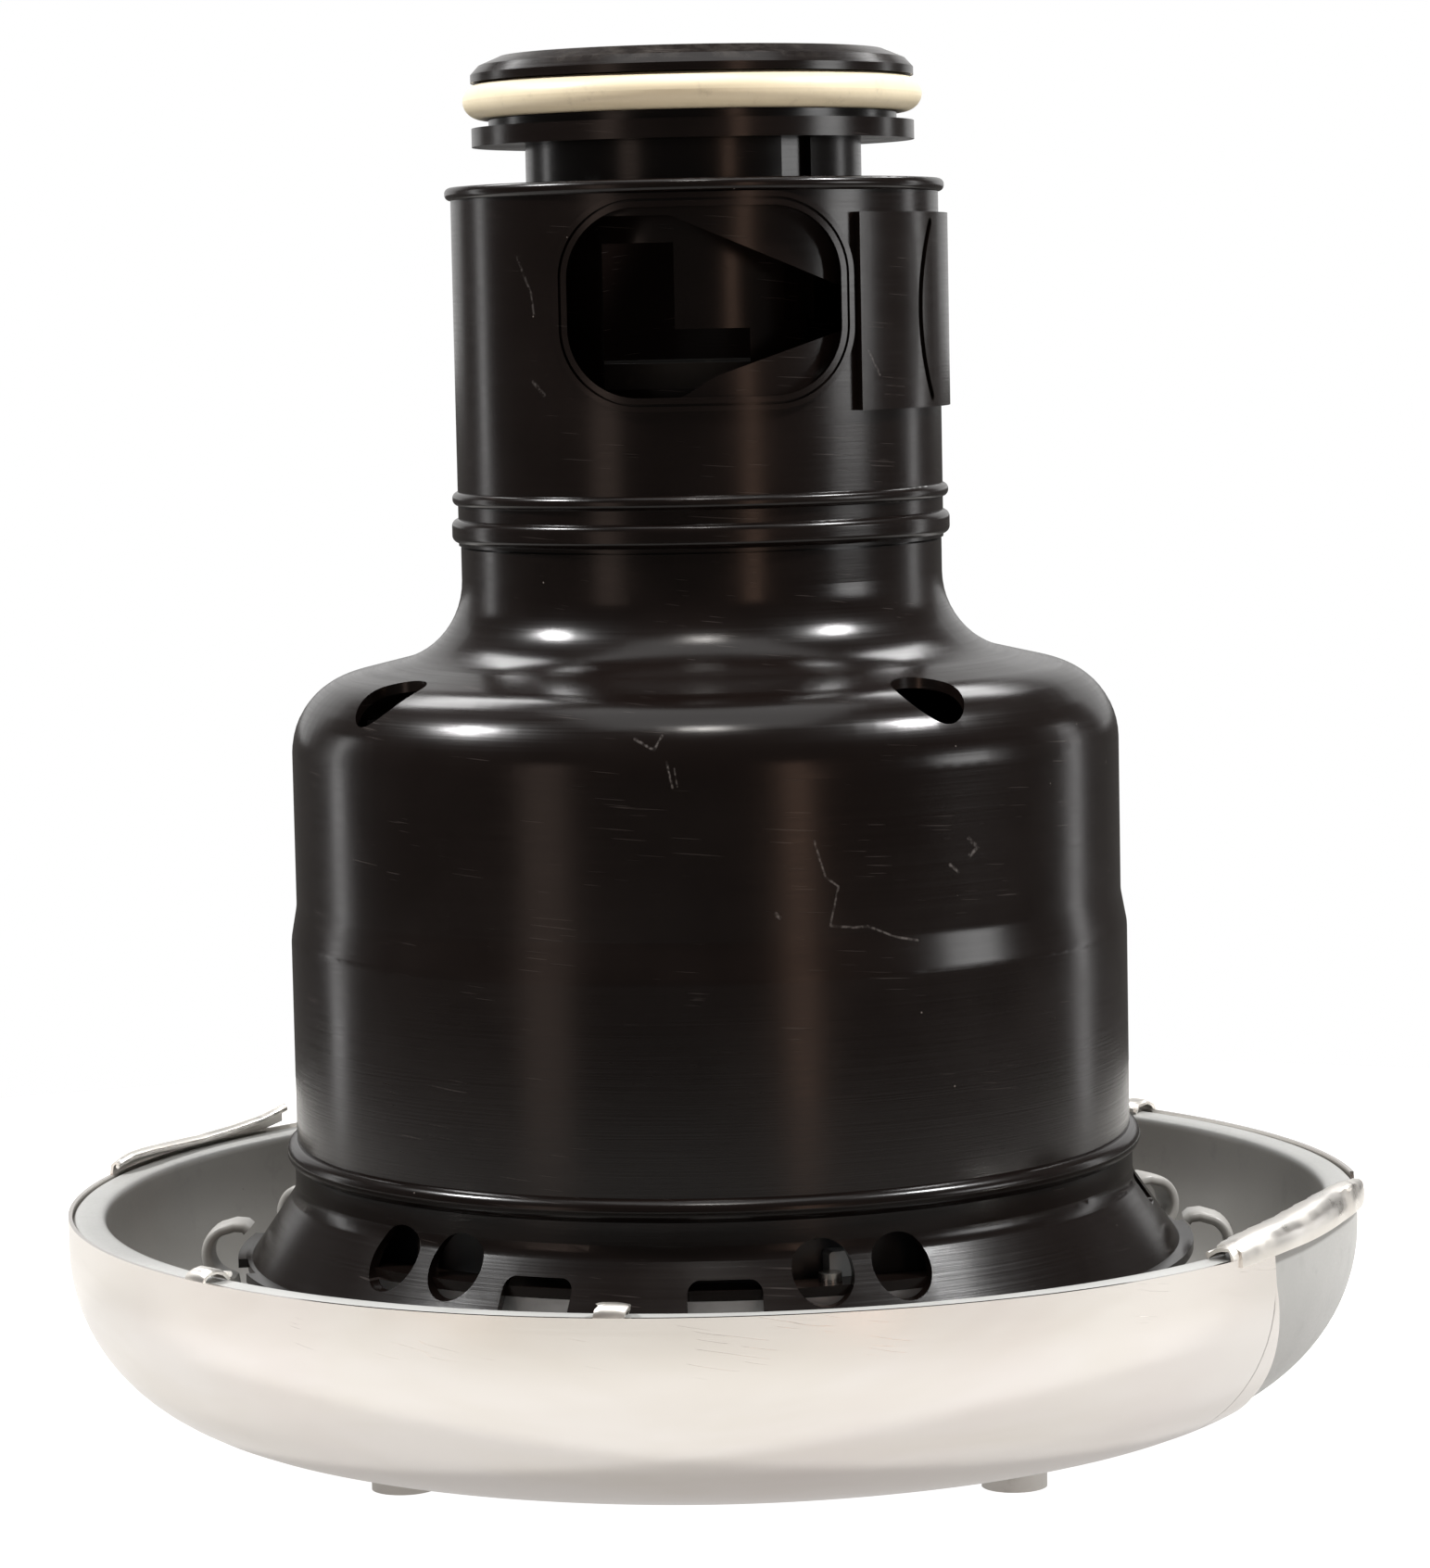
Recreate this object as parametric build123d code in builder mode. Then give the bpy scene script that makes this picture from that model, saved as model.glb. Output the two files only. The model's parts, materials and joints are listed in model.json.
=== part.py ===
from build123d import *
from math import cos, radians, sin, sqrt
import os

# A food waste disposer that stands on its round trim dish. Millimetres, +Z up, origin on the
# floor under the drive shaft. "Clock" angles are degrees from the front (-Y) towards +X.

# ---- driving dimensions ----
GAP = 0.3                   # free gap between curved faces that move past each other
RUNNING = 0.05              # radial clearance of a shaft in its bearing
WALL = 2.0                  # moulded wall of the shell, skirt, collar and sleeve

DISH_R = 131.0              # stainless dish: outer wall, rim height, dome and knuckle radii
RIM_Z = 53.8
DOME_R = 417.0
KNUCKLE_R = 34.6
SKIN_T = 0.8
BOWL_MOUTH_R = 123.4
BOWL_RIM_Z = 53.3
SERVICE_HOLE_R = 24.0
FOOT_RING_R = 70.0
FOOT_CLOCKS = (56.0, 176.0, -64.0)
FOOT_STEM_R = 2.8
HOOK_CLOCKS = (-93.0, 87.0, 113.0, -119.0)
HOOK_R = 99.2
TAB_CLOCKS = (-8.3, -48.0, 49.0, 133.0)
LIPS = ((48.0, 84.0), (-132.0, -108.0))
CUTAWAY = (54.5, 90.0)
DISH_TWIST = 14.0           # turn that brings the dish hooks to the gaps in the skirt flange

SHELL_FOOT_Z = 62.3
SHELL_LOW_R = 84.6
SHELL_HIGH_R = 83.4
SHELL_STEP_Z = (107.6, 114.2)
SHOULDER_CORNER_Z = 157.6
NECK_R = 48.4
NECK_CORNER_Z = 166.0
NECK_TOP_Z = 185.6
VENT_RING_R = 74.0
VENT_R = 7.0
VENT_CLOCK = 35.0
BEAD_R = 2.25
GLAND_CLOCK = 150.0         # cable inlet: place, neck radius and bore
GLAND_Z = 85.0
GLAND_R = 10.9
GLAND_BORE_R = 5.0

SKIRT_BEND_Z = 56.4
SKIRT_LOW_R = 94.4
SKIRT_LOW_Z = 43.0
SKIRT_TOP_R = 85.1
SKIRT_PATTERN_CLOCK = -10.5
HOOK_FLANGE_R = 97.2
LEDGE_R = 80.8
SKIRT_SCREW_RING_R = 83.4
SKIRT_SCREW_CLOCK = 15.0

COLLAR_R = 48.8
COLLAR_Z = (186.0, 257.4)
WINDOW_CLOCK = 2.2
WINDOW_Z = 233.8
WINDOW_SIZE = (53.0, 36.5)
WINDOW_CORNER_R = 13.5
COLLAR_TWIST = 35.0         # quarter-turn style locking twist of the collar
SPIGOT_DRAW = 6.0           # how far the twist draws the spigot down
CAM_PIN_R = 2.5
CAM_PIN_Z = 203.0
CAM_PIN_CLOCKS = (-50.0, 70.0, 190.0)
SLOT_RUNOUT = 7.5           # extra turn at each end of the cam slots
COLLAR_LIP_R = 35.2
SLEEVE_R = COLLAR_R - WALL - GAP

SPIGOT_TUBE_R = 33.6
SPIGOT_BORE_R = 30.0
SPIGOT_FLANGE_R = 44.25     # 88.5 mm flanges for a 90 mm sink outlet
SPIGOT_TOP_Z = 283.2
RING_R = 41.8               # sealing ring: mean radius and half sections
RING_HALF = (4.1, 3.6)
RING_GROOVE_Z = (270.7, 278.0)
SPIGOT_FLANGE_Z = 265.3
KEY_CLOCK = 37.0
GUARD_R = 36.0              # splash guard
GUARD_Z = 277.0
GUARD_T = 2.0
GUARD_BORE_R = 27.6
GUARD_SLITS = 12
GUARD_SLIT_SIZE = (10.0, 0.8)
LINER_BORE_R = 27.0

CHAMBER_R = 60.0
CHAMBER_WALL = 3.5
DRAIN_FLOOR_Z = 104.0
CHAMBER_JOINT_Z = 146.0
CHAMBER_FLANGE_R = 69.5
CHAMBER_SCREW_RING_R = 66.5
DRAIN_SCREW_RING_R = 67.0
SEAL_R = 13.0
SEAL_Z = (110.0, 117.0)
TURNTABLE_Z = 130.0
GRIND_RING_R = 57.0
OUTLET_Z = 125.0
OUTLET_R = 19.05            # 1 1/2 in waste pipe
OUTLET_Y = (77.0, 126.0)
OUTLET_BORE_R = 16.5
OUTLET_SCREW_GRID = (46.4, 28.4)
DUCT_FACE_Y = 75.0
FLANGE_SIZE = (56.0, 39.0)
FLANGE_T = 4.5

FRAME_R = 76.0              # motor: frame, core bore and heights
FRAME_WALL = 2.0
FRAME_Z = (48.0, 100.0)
CORE_BORE_R = 38.0
CORE_Z = (50.0, 88.0)
AIR_GAP = 0.5
SLOT_COUNT = 12
SHAFT_R = 8.0
SHAFT_TIP_R = 6.0
BEARING_R = 14.0
THROUGH_BOLT_RING_R = 78.5
LUG_PIVOT_R = 34.0
LUG_PIN_R = 3.0
LUG_REACH = 15.0
TURNTABLE_R = 56.0
STUD_R = 5.0
FAN_Z = 35.6
FAN_R = 33.0
SLOT_MID_R = 50.5
SLOT_SIZE = (15.0, 7.0)
END_TURN_H = 10.5
BELL_FLOOR_Z = 21.0         # lower end bell: floor, flange and service boss
BELL_FLANGE_R = 87.0
BOSS_R = 20.5
BOSS_Z = 4.0
BUTTON_X = 12.5
BUTTON_R = 3.5
BOLT_CLOCKS = (45, 135, 225, 315)
THROUGH = 40.0              # depth that cuts right through any wall
SHELL_FILLETS = (8.0, 8.0, 16.0, 16.5)
SHELL_LIP_DEPTH = 6.0       # socket in the shell foot that seats on the skirt
OUTLET_MARGIN = 4.0
SKIRT_HOLE_Z = 52.6         # skirt pattern: finger holes, windows and a side vent
SKIRT_HOLE_R = 6.0
SKIRT_HOLE_STEPS = (-34.1, -23.8, 23.8, 34.1)
SKIRT_WINDOW_Z = 43.5
SKIRT_WINDOW_SIZE = (14.2, 17.0)
SKIRT_WINDOW_STEPS = (-11.6, 11.6)
SKIRT_VENT_CLOCK = 84.0
SKIRT_VENT_Z = 53.5
SKIRT_VENT_SIZE = 6.0
HOOK_FLANGE_T = 1.8
HOOK_GAP_R = (95.3, 99.0)
HOOK_GAP_ARC = 9.2
BELL_SEAT_R = 88.4
SOCKET_Z = (59.0, 70.0)
SKIRT_SCREW_R = 1.5         # screws: radius and head size of each set
SKIRT_SCREW_HEAD = (2.2, 1.6)
CHAMBER_SCREW_R = 1.8
CHAMBER_SCREW_HEAD = (3.2, 2.2)
DRAIN_SCREW_R = 1.6
DRAIN_SCREW_HEAD = (3.0, 2.0)
OUTLET_SCREW_R = 2.0
OUTLET_SCREW_HEAD = (3.7, 2.6)
OUTLET_SCREW_LENGTH = 14.0
BOLT_R = 2.0
BOLT_HEX = (3.4, 3.0)
SCREW_PLAY = 0.1            # radial clearance of every screw and bolt in its hole
SLEEVE_FOOT_Z = 172.0       # lock sleeve: ends, wedge window, pin slot play and key
SLEEVE_TOP_Z = 254.3
WEDGE_SIDE_X = -30.0
WEDGE_Z = (215.5, 250.5)
WEDGE_FLAT_X = (-4.9, -3.0)
WEDGE_RAMP = (3.7, 219.6)
WEDGE_TIP = (39.2, 231.5)
WEDGE_FILLETS = (4.0, 4.0, 4.0, 6.4, 4.0, 4.0)
PIN_SLOT_PLAY = 0.4
PIN_SLOT_END = 3.8
KEY_Z = 246.0
KEY_SIZE = (6.4, 10.0)
KEYWAY_Z = 230.0
KEYWAY_W = 7.2
LID_WALL_Z = 150.5          # chamber lid: heights of its wall, shoulder and neck
LID_SHOULDER_Z = 163.0
LID_NECK_Z = 176.0
LID_FLANGE_T = 3.0
LINER_Z = (165.0, 178.0, 222.0)
DRAIN_FLOOR_T = 3.5
DRAIN_EAR_R = 71.0
DUCT_SLOT_Z = 116.0
DUCT_SLOT_SIZE = (32.0, 16.0)
GRIND_TEETH = 36
GRIND_TOOTH_R = 1.3
LOWER_BEARING_TOP_Z = 34.0
BELL_WALL_Z = 38.0          # end bells: foot of the wall, floor holes and bearing seat
BELL_HOLE_RING_R = 52.0
BELL_HOLE_COUNT = 8
BELL_HOLE_SIZE = (8.0, 16.0)
UPPER_SEAT_Z = 92.5
CAPACITOR_X = -41.0         # electrics under the motor: places, sizes and depth
CAPACITOR_SIZE = (22.0, 38.0)
RELAY_Y = 40.0
RELAY_SIZE = (30.0, 20.0)
ELECTRICS_DEPTH = 7.0
TERMINAL_CLOCK = 17.3
SHAFT_STEP_Z = 22.0
SHAFT_TOP_Z = 141.0
HEX_SOCKET_R = 3.67         # takes a 1/4 in hexagon key
HEX_SOCKET_DEPTH = 8.0
END_RING_R = (26.0, 36.0)
END_RING_H = 3.5
FAN_HUB_R = 12.0
FAN_HUB_TOP_Z = 46.0
FAN_BLADES = 8
TURNTABLE_T = 2.5
TURNTABLE_NUT_R = 9.0
LUG_H = 10.0
LUG_R = (7.5, 5.5)
SPIGOT_FOOT_Z = 190.0
L_SLOT_CORNER = (-18.2, 217.0)
L_SLOT_UPRIGHT = (14.0, 28.4)
L_SLOT_FOOT = (28.6, 11.6)
GRIP_Z = (212.3, 250.5)     # raised grip panel of the collar and its curved groove
GRIP_START = 39.0
GRIP_ARC = 101.0
GROOVE_CLOCK = 62.5
HOOK_TIP_Z = 47.0

os.makedirs("parts", exist_ok=True)


# ---- helpers ----
def polar(clock):
    """Angle from +X of a clock angle."""
    return clock - 90


def outward(clock, height=0.0, distance=0.0):
    """Vertical plane that faces outwards, its centre at a height and a distance from the axis."""
    a = radians(polar(clock))
    centre = (distance * cos(a), distance * sin(a), height)
    return Plane(origin=centre, x_dir=(-sin(a), cos(a), 0), z_dir=(cos(a), sin(a), 0))


def upright(clock):
    """Half plane through the axis: local X is the radius and local Y the height."""
    a = radians(polar(clock))
    return Plane(origin=(0, 0, 0), x_dir=(cos(a), sin(a), 0), z_dir=(sin(a), -cos(a), 0))


def band(r_in, r_out, z_low, z_high, mode=Mode.ADD):
    """Rectangle of a turned profile between two radii and two heights."""
    with Locations((r_in, z_low)):
        Rectangle(r_out - r_in, z_high - z_low, align=(Align.MIN, Align.MIN), mode=mode)


def ring(r_in, r_out, z_low, z_high, mode=Mode.ADD):
    """Flat ring, or a disc where the inner radius is nought, in the part being made."""
    with BuildSketch(Plane.XY.offset(z_low)) as section:
        Circle(r_out)
        if r_in:
            Circle(r_in, mode=Mode.SUBTRACT)
    extrude(section.sketch, amount=z_high - z_low, mode=mode)


def sector(r_in, r_out, z_low, z_high, clock_start, arc, mode=Mode.ADD):
    """Part of a ring that starts at a clock angle and runs on by an arc."""
    with BuildSketch(upright(clock_start)) as section:
        band(r_in, r_out, z_low, z_high)
    revolve(section.sketch, axis=Axis.Z, revolution_arc=arc, mode=mode)


def drill(clock, height, radius, near, far, mode=Mode.SUBTRACT):
    """Round hole or pin along a radius between two distances from the axis."""
    with BuildSketch(outward(clock, height, near)) as section:
        Circle(radius)
    extrude(section.sketch, amount=far - near, mode=mode)


def dish_outline(inset, r_start, z_end):
    """Dome, knuckle and wall of the dish as one line, moved inwards by an inset."""
    dome = DOME_R - inset
    knuckle = KNUCKLE_R - inset
    x_knuckle = DISH_R - KNUCKLE_R
    z_knuckle = DOME_R - sqrt((DOME_R - KNUCKLE_R) ** 2 - x_knuckle**2)
    lean = x_knuckle / (DOME_R - KNUCKLE_R)
    start = (r_start, DOME_R - sqrt(dome**2 - r_start**2))
    middle = (r_start + 40, DOME_R - sqrt(dome**2 - (r_start + 40) ** 2))
    join = (x_knuckle + knuckle * lean, z_knuckle - knuckle * sqrt(1 - lean**2))
    bulge = (x_knuckle + knuckle * cos(0.7), z_knuckle - knuckle * sin(0.7))
    ThreePointArc(start, middle, join)
    ThreePointArc(join, bulge, (DISH_R - inset, z_knuckle))
    Line((DISH_R - inset, z_knuckle), (DISH_R - inset, z_end))
    return start


# ---- main_shell: can with a necked top, air vents, outlet opening and cable hole ----
with BuildPart() as main_shell:
    with BuildSketch(Plane.XZ):
        with BuildLine():
            shell_line = FilletPolyline(
                (SHELL_LOW_R, SHELL_FOOT_Z),
                (SHELL_LOW_R, SHELL_STEP_Z[0]),
                (SHELL_HIGH_R, SHELL_STEP_Z[1]),
                (SHELL_HIGH_R, SHOULDER_CORNER_Z),
                (NECK_R, NECK_CORNER_Z),
                (NECK_R, NECK_TOP_Z),
                radius=SHELL_FILLETS,
            )
            offset(shell_line, amount=WALL, side=Side.LEFT)
        make_face()
        with Locations((SHELL_LOW_R - 0.15, SHELL_FOOT_Z + BEAD_R)):
            Circle(BEAD_R)
        band(SHELL_LOW_R - 3, SHELL_LOW_R - WALL, SHELL_FOOT_Z, SHELL_FOOT_Z + SHELL_LIP_DEPTH, Mode.SUBTRACT)
    revolve(axis=Axis.Z)
    with BuildSketch(Plane.XY.offset(SHELL_STEP_Z[1] + 20)):
        with PolarLocations(VENT_RING_R, 4, start_angle=polar(VENT_CLOCK)):
            Circle(VENT_R)
    extrude(amount=THROUGH, mode=Mode.SUBTRACT)
    with BuildSketch(outward(180, OUTLET_Z, CHAMBER_R)):
        RectangleRounded(FLANGE_SIZE[0] + OUTLET_MARGIN, FLANGE_SIZE[1] + OUTLET_MARGIN, 6)
    extrude(amount=THROUGH, mode=Mode.SUBTRACT)
    drill(GLAND_CLOCK, GLAND_Z, GLAND_R + 0.1, FRAME_R, 95)
main_shell.part.label = "main_shell"
export_step(main_shell.part, "parts/main_shell.step")

# ---- base_skirt: flared foot of the shell with hand holes, windows and a hook flange ----
with BuildPart() as base_skirt:
    with BuildSketch(Plane.XZ):
        with BuildLine():
            skirt_line = FilletPolyline(
                (SKIRT_LOW_R, SKIRT_LOW_Z),
                (SKIRT_TOP_R, SKIRT_BEND_Z),
                (SKIRT_TOP_R, SHELL_FOOT_Z),
                radius=5,
            )
            offset(skirt_line, amount=WALL, side=Side.LEFT)
        make_face()
    revolve(axis=Axis.Z)
    ring(SKIRT_LOW_R - WALL, HOOK_FLANGE_R, SKIRT_LOW_Z - HOOK_FLANGE_T, SKIRT_LOW_Z)
    for side in (0, 180):
        for step in SKIRT_HOLE_STEPS:
            drill(SKIRT_PATTERN_CLOCK + side + step, SKIRT_HOLE_Z, SKIRT_HOLE_R, 70, 110)
        for step in SKIRT_WINDOW_STEPS:
            clock = SKIRT_PATTERN_CLOCK + side + step
            with BuildSketch(outward(clock, SKIRT_WINDOW_Z, SKIRT_TOP_R - 1)):
                RectangleRounded(*SKIRT_WINDOW_SIZE, 2.5)
            extrude(amount=20, mode=Mode.SUBTRACT)
    with BuildSketch(outward(SKIRT_VENT_CLOCK, SKIRT_VENT_Z, 70)):
        RectangleRounded(SKIRT_VENT_SIZE, SKIRT_VENT_SIZE, 1)
    extrude(amount=THROUGH, mode=Mode.SUBTRACT)
    for clock in HOOK_CLOCKS:
        gap_start = clock + DISH_TWIST - HOOK_GAP_ARC / 2
        sector(*HOOK_GAP_R, 40, SKIRT_LOW_Z + 0.1, gap_start, HOOK_GAP_ARC, Mode.SUBTRACT)
    ring(LEDGE_R, BELL_SEAT_R, FRAME_Z[0], FRAME_Z[0] + WALL)
    ring(LEDGE_R, SKIRT_TOP_R - 1, SOCKET_Z[0], SHELL_FOOT_Z)
    ring(LEDGE_R, SHELL_LOW_R - WALL - 0.1, SHELL_FOOT_Z, SOCKET_Z[1])
    with BuildSketch(Plane.XY.offset(FRAME_Z[0])):
        with PolarLocations(SKIRT_SCREW_RING_R, 4, start_angle=polar(SKIRT_SCREW_CLOCK)):
            Circle(SKIRT_SCREW_R + SCREW_PLAY)
    extrude(amount=WALL, mode=Mode.SUBTRACT)
base_skirt.part.label = "base_skirt"
export_step(base_skirt.part, "parts/base_skirt.step")

# ---- skirt_screws ----
with BuildPart() as skirt_screws:
    with BuildSketch(Plane.XY.offset(FRAME_Z[0] + WALL)):
        with PolarLocations(SKIRT_SCREW_RING_R, 4, start_angle=polar(SKIRT_SCREW_CLOCK)):
            Circle(SKIRT_SCREW_HEAD[0])
    extrude(amount=SKIRT_SCREW_HEAD[1])
    with BuildSketch(Plane.XY.offset(FRAME_Z[0] - 6)):
        with PolarLocations(SKIRT_SCREW_RING_R, 4, start_angle=polar(SKIRT_SCREW_CLOCK)):
            Circle(SKIRT_SCREW_R)
    extrude(amount=6 + WALL)
skirt_screws.part.label = "skirt_screws"
export_step(skirt_screws.part, "parts/skirt_screws.step")

# ---- lock_sleeve: fixed tube inside the collar, with a wedge window and pin slots ----
with BuildPart() as lock_sleeve:
    ring(SLEEVE_R - WALL - 0.1, SLEEVE_R - 0.1, SLEEVE_FOOT_Z, NECK_TOP_Z)
    ring(SLEEVE_R - WALL - 0.1, SLEEVE_R, NECK_TOP_Z, SLEEVE_TOP_Z)
    with BuildSketch(outward(0, 0, 20)):
        with BuildLine():
            FilletPolyline(
                (WEDGE_SIDE_X, WEDGE_Z[1]),
                (WEDGE_SIDE_X, WEDGE_Z[0]),
                (WEDGE_FLAT_X[1], WEDGE_Z[0]),
                WEDGE_RAMP,
                WEDGE_TIP,
                (WEDGE_FLAT_X[0], WEDGE_Z[1]),
                radius=WEDGE_FILLETS,
                close=True,
            )
        make_face()
    extrude(amount=THROUGH, mode=Mode.SUBTRACT)
    for clock in CAM_PIN_CLOCKS:
        low = CAM_PIN_Z - CAM_PIN_R - PIN_SLOT_PLAY
        high = CAM_PIN_Z + CAM_PIN_R + PIN_SLOT_PLAY
        sector(43, 48, low, high, clock - PIN_SLOT_END, COLLAR_TWIST + 2 * PIN_SLOT_END, Mode.SUBTRACT)
    with BuildSketch(outward(KEY_CLOCK, KEY_Z, SPIGOT_TUBE_R - 1.7)):
        Rectangle(*KEY_SIZE)
    extrude(amount=SLEEVE_R - WALL - SPIGOT_TUBE_R + 2.4)
lock_sleeve.part.label = "lock_sleeve"
export_step(lock_sleeve.part, "parts/lock_sleeve.step")

# ---- chamber_housing: domed lid of the grinding chamber with a neck ----
with BuildPart() as chamber_housing:
    with BuildSketch(Plane.XZ):
        with BuildLine():
            lid_line = FilletPolyline(
                (CHAMBER_R + CHAMBER_WALL, CHAMBER_JOINT_Z),
                (CHAMBER_R + CHAMBER_WALL, LID_WALL_Z),
                (SPIGOT_BORE_R + CHAMBER_WALL, LID_SHOULDER_Z),
                (SPIGOT_BORE_R + CHAMBER_WALL, LID_NECK_Z),
                radius=[5, 6],
            )
            offset(lid_line, amount=CHAMBER_WALL, side=Side.LEFT)
        make_face()
        band(CHAMBER_R + 1, CHAMBER_FLANGE_R, CHAMBER_JOINT_Z, CHAMBER_JOINT_Z + LID_FLANGE_T)
    revolve(axis=Axis.Z)
    with BuildSketch(Plane.XY.offset(CHAMBER_JOINT_Z)):
        with PolarLocations(CHAMBER_SCREW_RING_R, 6):
            Circle(CHAMBER_SCREW_R + SCREW_PLAY)
    extrude(amount=LID_FLANGE_T, mode=Mode.SUBTRACT)
chamber_housing.part.label = "chamber_housing"
export_step(chamber_housing.part, "parts/chamber_housing.step")

# ---- chamber_screws ----
with BuildPart() as chamber_screws:
    with BuildSketch(Plane.XY.offset(CHAMBER_JOINT_Z + LID_FLANGE_T)):
        with PolarLocations(CHAMBER_SCREW_RING_R, 6):
            RegularPolygon(CHAMBER_SCREW_HEAD[0], 6)
    extrude(amount=CHAMBER_SCREW_HEAD[1])
    with BuildSketch(Plane.XY.offset(CHAMBER_JOINT_Z - 5)):
        with PolarLocations(CHAMBER_SCREW_RING_R, 6):
            Circle(CHAMBER_SCREW_R)
    extrude(amount=5 + LID_FLANGE_T)
chamber_screws.part.label = "chamber_screws"
export_step(chamber_screws.part, "parts/chamber_screws.step")

# ---- throat_liner: rubber tube from the chamber neck up inside the spigot ----
with BuildPart() as throat_liner:
    with BuildSketch(Plane.XZ):
        band(LINER_BORE_R, SPIGOT_BORE_R, LINER_Z[0], LID_NECK_Z)
        band(LINER_BORE_R, SPIGOT_BORE_R + CHAMBER_WALL, LID_NECK_Z, LINER_Z[1])
        band(LINER_BORE_R, SPIGOT_BORE_R - 2 * GAP, LINER_Z[1], LINER_Z[2])
    revolve(axis=Axis.Z)
throat_liner.part.label = "throat_liner"
export_step(throat_liner.part, "parts/throat_liner.step")

# ---- drain_housing: cup under the turntable with a duct to the rear ----
with BuildPart() as drain_housing:
    ring(0, CHAMBER_R + CHAMBER_WALL, DRAIN_FLOOR_Z, CHAMBER_JOINT_Z)
    ring(CHAMBER_R, CHAMBER_FLANGE_R, CHAMBER_JOINT_Z - 3, CHAMBER_JOINT_Z)
    for clock in BOLT_CLOCKS:
        sector(CHAMBER_R, DRAIN_EAR_R, DRAIN_FLOOR_Z, DRAIN_FLOOR_Z + DRAIN_FLOOR_T, clock - 4.5, 9)
    with BuildSketch(outward(180, OUTLET_Z, 40)):
        RectangleRounded(FLANGE_SIZE[0], FLANGE_SIZE[1], 5)
    extrude(amount=DUCT_FACE_Y - 40)
    ring(0, CHAMBER_R, DRAIN_FLOOR_Z + 3, CHAMBER_JOINT_Z, Mode.SUBTRACT)
    ring(GRIND_RING_R + 0.5, CHAMBER_R + 1, TURNTABLE_Z - 4, TURNTABLE_Z - 2)
    ring(SEAL_R - 4, SEAL_R + 3.5, DRAIN_FLOOR_Z + 3, SEAL_Z[0])
    ring(SEAL_R, SEAL_R + 3.5, SEAL_Z[0], SEAL_Z[1] + 1)
    ring(0, SHAFT_R + 0.6, DRAIN_FLOOR_Z, DRAIN_FLOOR_Z + 3, Mode.SUBTRACT)
    with BuildSketch(outward(180, OUTLET_Z, 64.5)):
        Circle(OUTLET_BORE_R)
    extrude(amount=20, mode=Mode.SUBTRACT)
    with BuildSketch(outward(180, DUCT_SLOT_Z, 50)):
        SlotOverall(*DUCT_SLOT_SIZE)
    extrude(amount=16, mode=Mode.SUBTRACT)
    with BuildSketch(outward(180, OUTLET_Z, DUCT_FACE_Y)):
        with GridLocations(*OUTLET_SCREW_GRID, 2, 2):
            Circle(OUTLET_SCREW_R)
    extrude(amount=-9, mode=Mode.SUBTRACT)
    with BuildSketch(Plane.XY.offset(CHAMBER_JOINT_Z - 6)):
        with PolarLocations(CHAMBER_SCREW_RING_R, 6):
            Circle(CHAMBER_SCREW_R + SCREW_PLAY)
    extrude(amount=6, mode=Mode.SUBTRACT)
    with BuildSketch(Plane.XY.offset(DRAIN_FLOOR_Z)):
        with PolarLocations(DRAIN_SCREW_RING_R, 4, start_angle=polar(BOLT_CLOCKS[0])):
            Circle(DRAIN_SCREW_R + SCREW_PLAY)
    extrude(amount=DRAIN_FLOOR_T, mode=Mode.SUBTRACT)
drain_housing.part.label = "drain_housing"
export_step(drain_housing.part, "parts/drain_housing.step")

# ---- drain_screws ----
with BuildPart() as drain_screws:
    with BuildSketch(Plane.XY.offset(DRAIN_FLOOR_Z + DRAIN_FLOOR_T)):
        with PolarLocations(DRAIN_SCREW_RING_R, 4, start_angle=polar(BOLT_CLOCKS[0])):
            Circle(DRAIN_SCREW_HEAD[0])
    extrude(amount=DRAIN_SCREW_HEAD[1])
    with BuildSketch(Plane.XY.offset(FRAME_Z[1])):
        with PolarLocations(DRAIN_SCREW_RING_R, 4, start_angle=polar(BOLT_CLOCKS[0])):
            Circle(DRAIN_SCREW_R)
    extrude(amount=DRAIN_FLOOR_Z + DRAIN_FLOOR_T - FRAME_Z[1])
drain_screws.part.label = "drain_screws"
export_step(drain_screws.part, "parts/drain_screws.step")

# ---- grind_ring: toothed ring round the turntable ----
with BuildPart() as grind_ring:
    ring(GRIND_RING_R, CHAMBER_R, TURNTABLE_Z - 2, CHAMBER_JOINT_Z)
    with BuildSketch(Plane.XY.offset(TURNTABLE_Z + 4)):
        with PolarLocations(GRIND_RING_R, GRIND_TEETH):
            Circle(GRIND_TOOTH_R)
    extrude(amount=CHAMBER_JOINT_Z - TURNTABLE_Z - 4, mode=Mode.SUBTRACT)
grind_ring.part.label = "grind_ring"
export_step(grind_ring.part, "parts/grind_ring.step")

# ---- shaft_seal ----
with BuildPart() as shaft_seal:
    ring(SHAFT_R + RUNNING, SEAL_R, SEAL_Z[0], SEAL_Z[1])
    with BuildSketch(Plane.XZ):
        with Locations(((SHAFT_R + SEAL_R) / 2, SEAL_Z[1])):
            Circle(1.2)
    revolve(axis=Axis.Z, mode=Mode.SUBTRACT)
shaft_seal.part.label = "shaft_seal"
export_step(shaft_seal.part, "parts/shaft_seal.step")

# ---- discharge_gasket ----
with BuildPart() as discharge_gasket:
    with BuildSketch(outward(180, OUTLET_Z, DUCT_FACE_Y)):
        RectangleRounded(FLANGE_SIZE[0], FLANGE_SIZE[1], 5)
        Circle(OUTLET_BORE_R, mode=Mode.SUBTRACT)
        with GridLocations(*OUTLET_SCREW_GRID, 2, 2):
            Circle(OUTLET_SCREW_R + SCREW_PLAY, mode=Mode.SUBTRACT)
    extrude(amount=OUTLET_Y[0] - DUCT_FACE_Y)
discharge_gasket.part.label = "discharge_gasket"
export_step(discharge_gasket.part, "parts/discharge_gasket.step")

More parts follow.
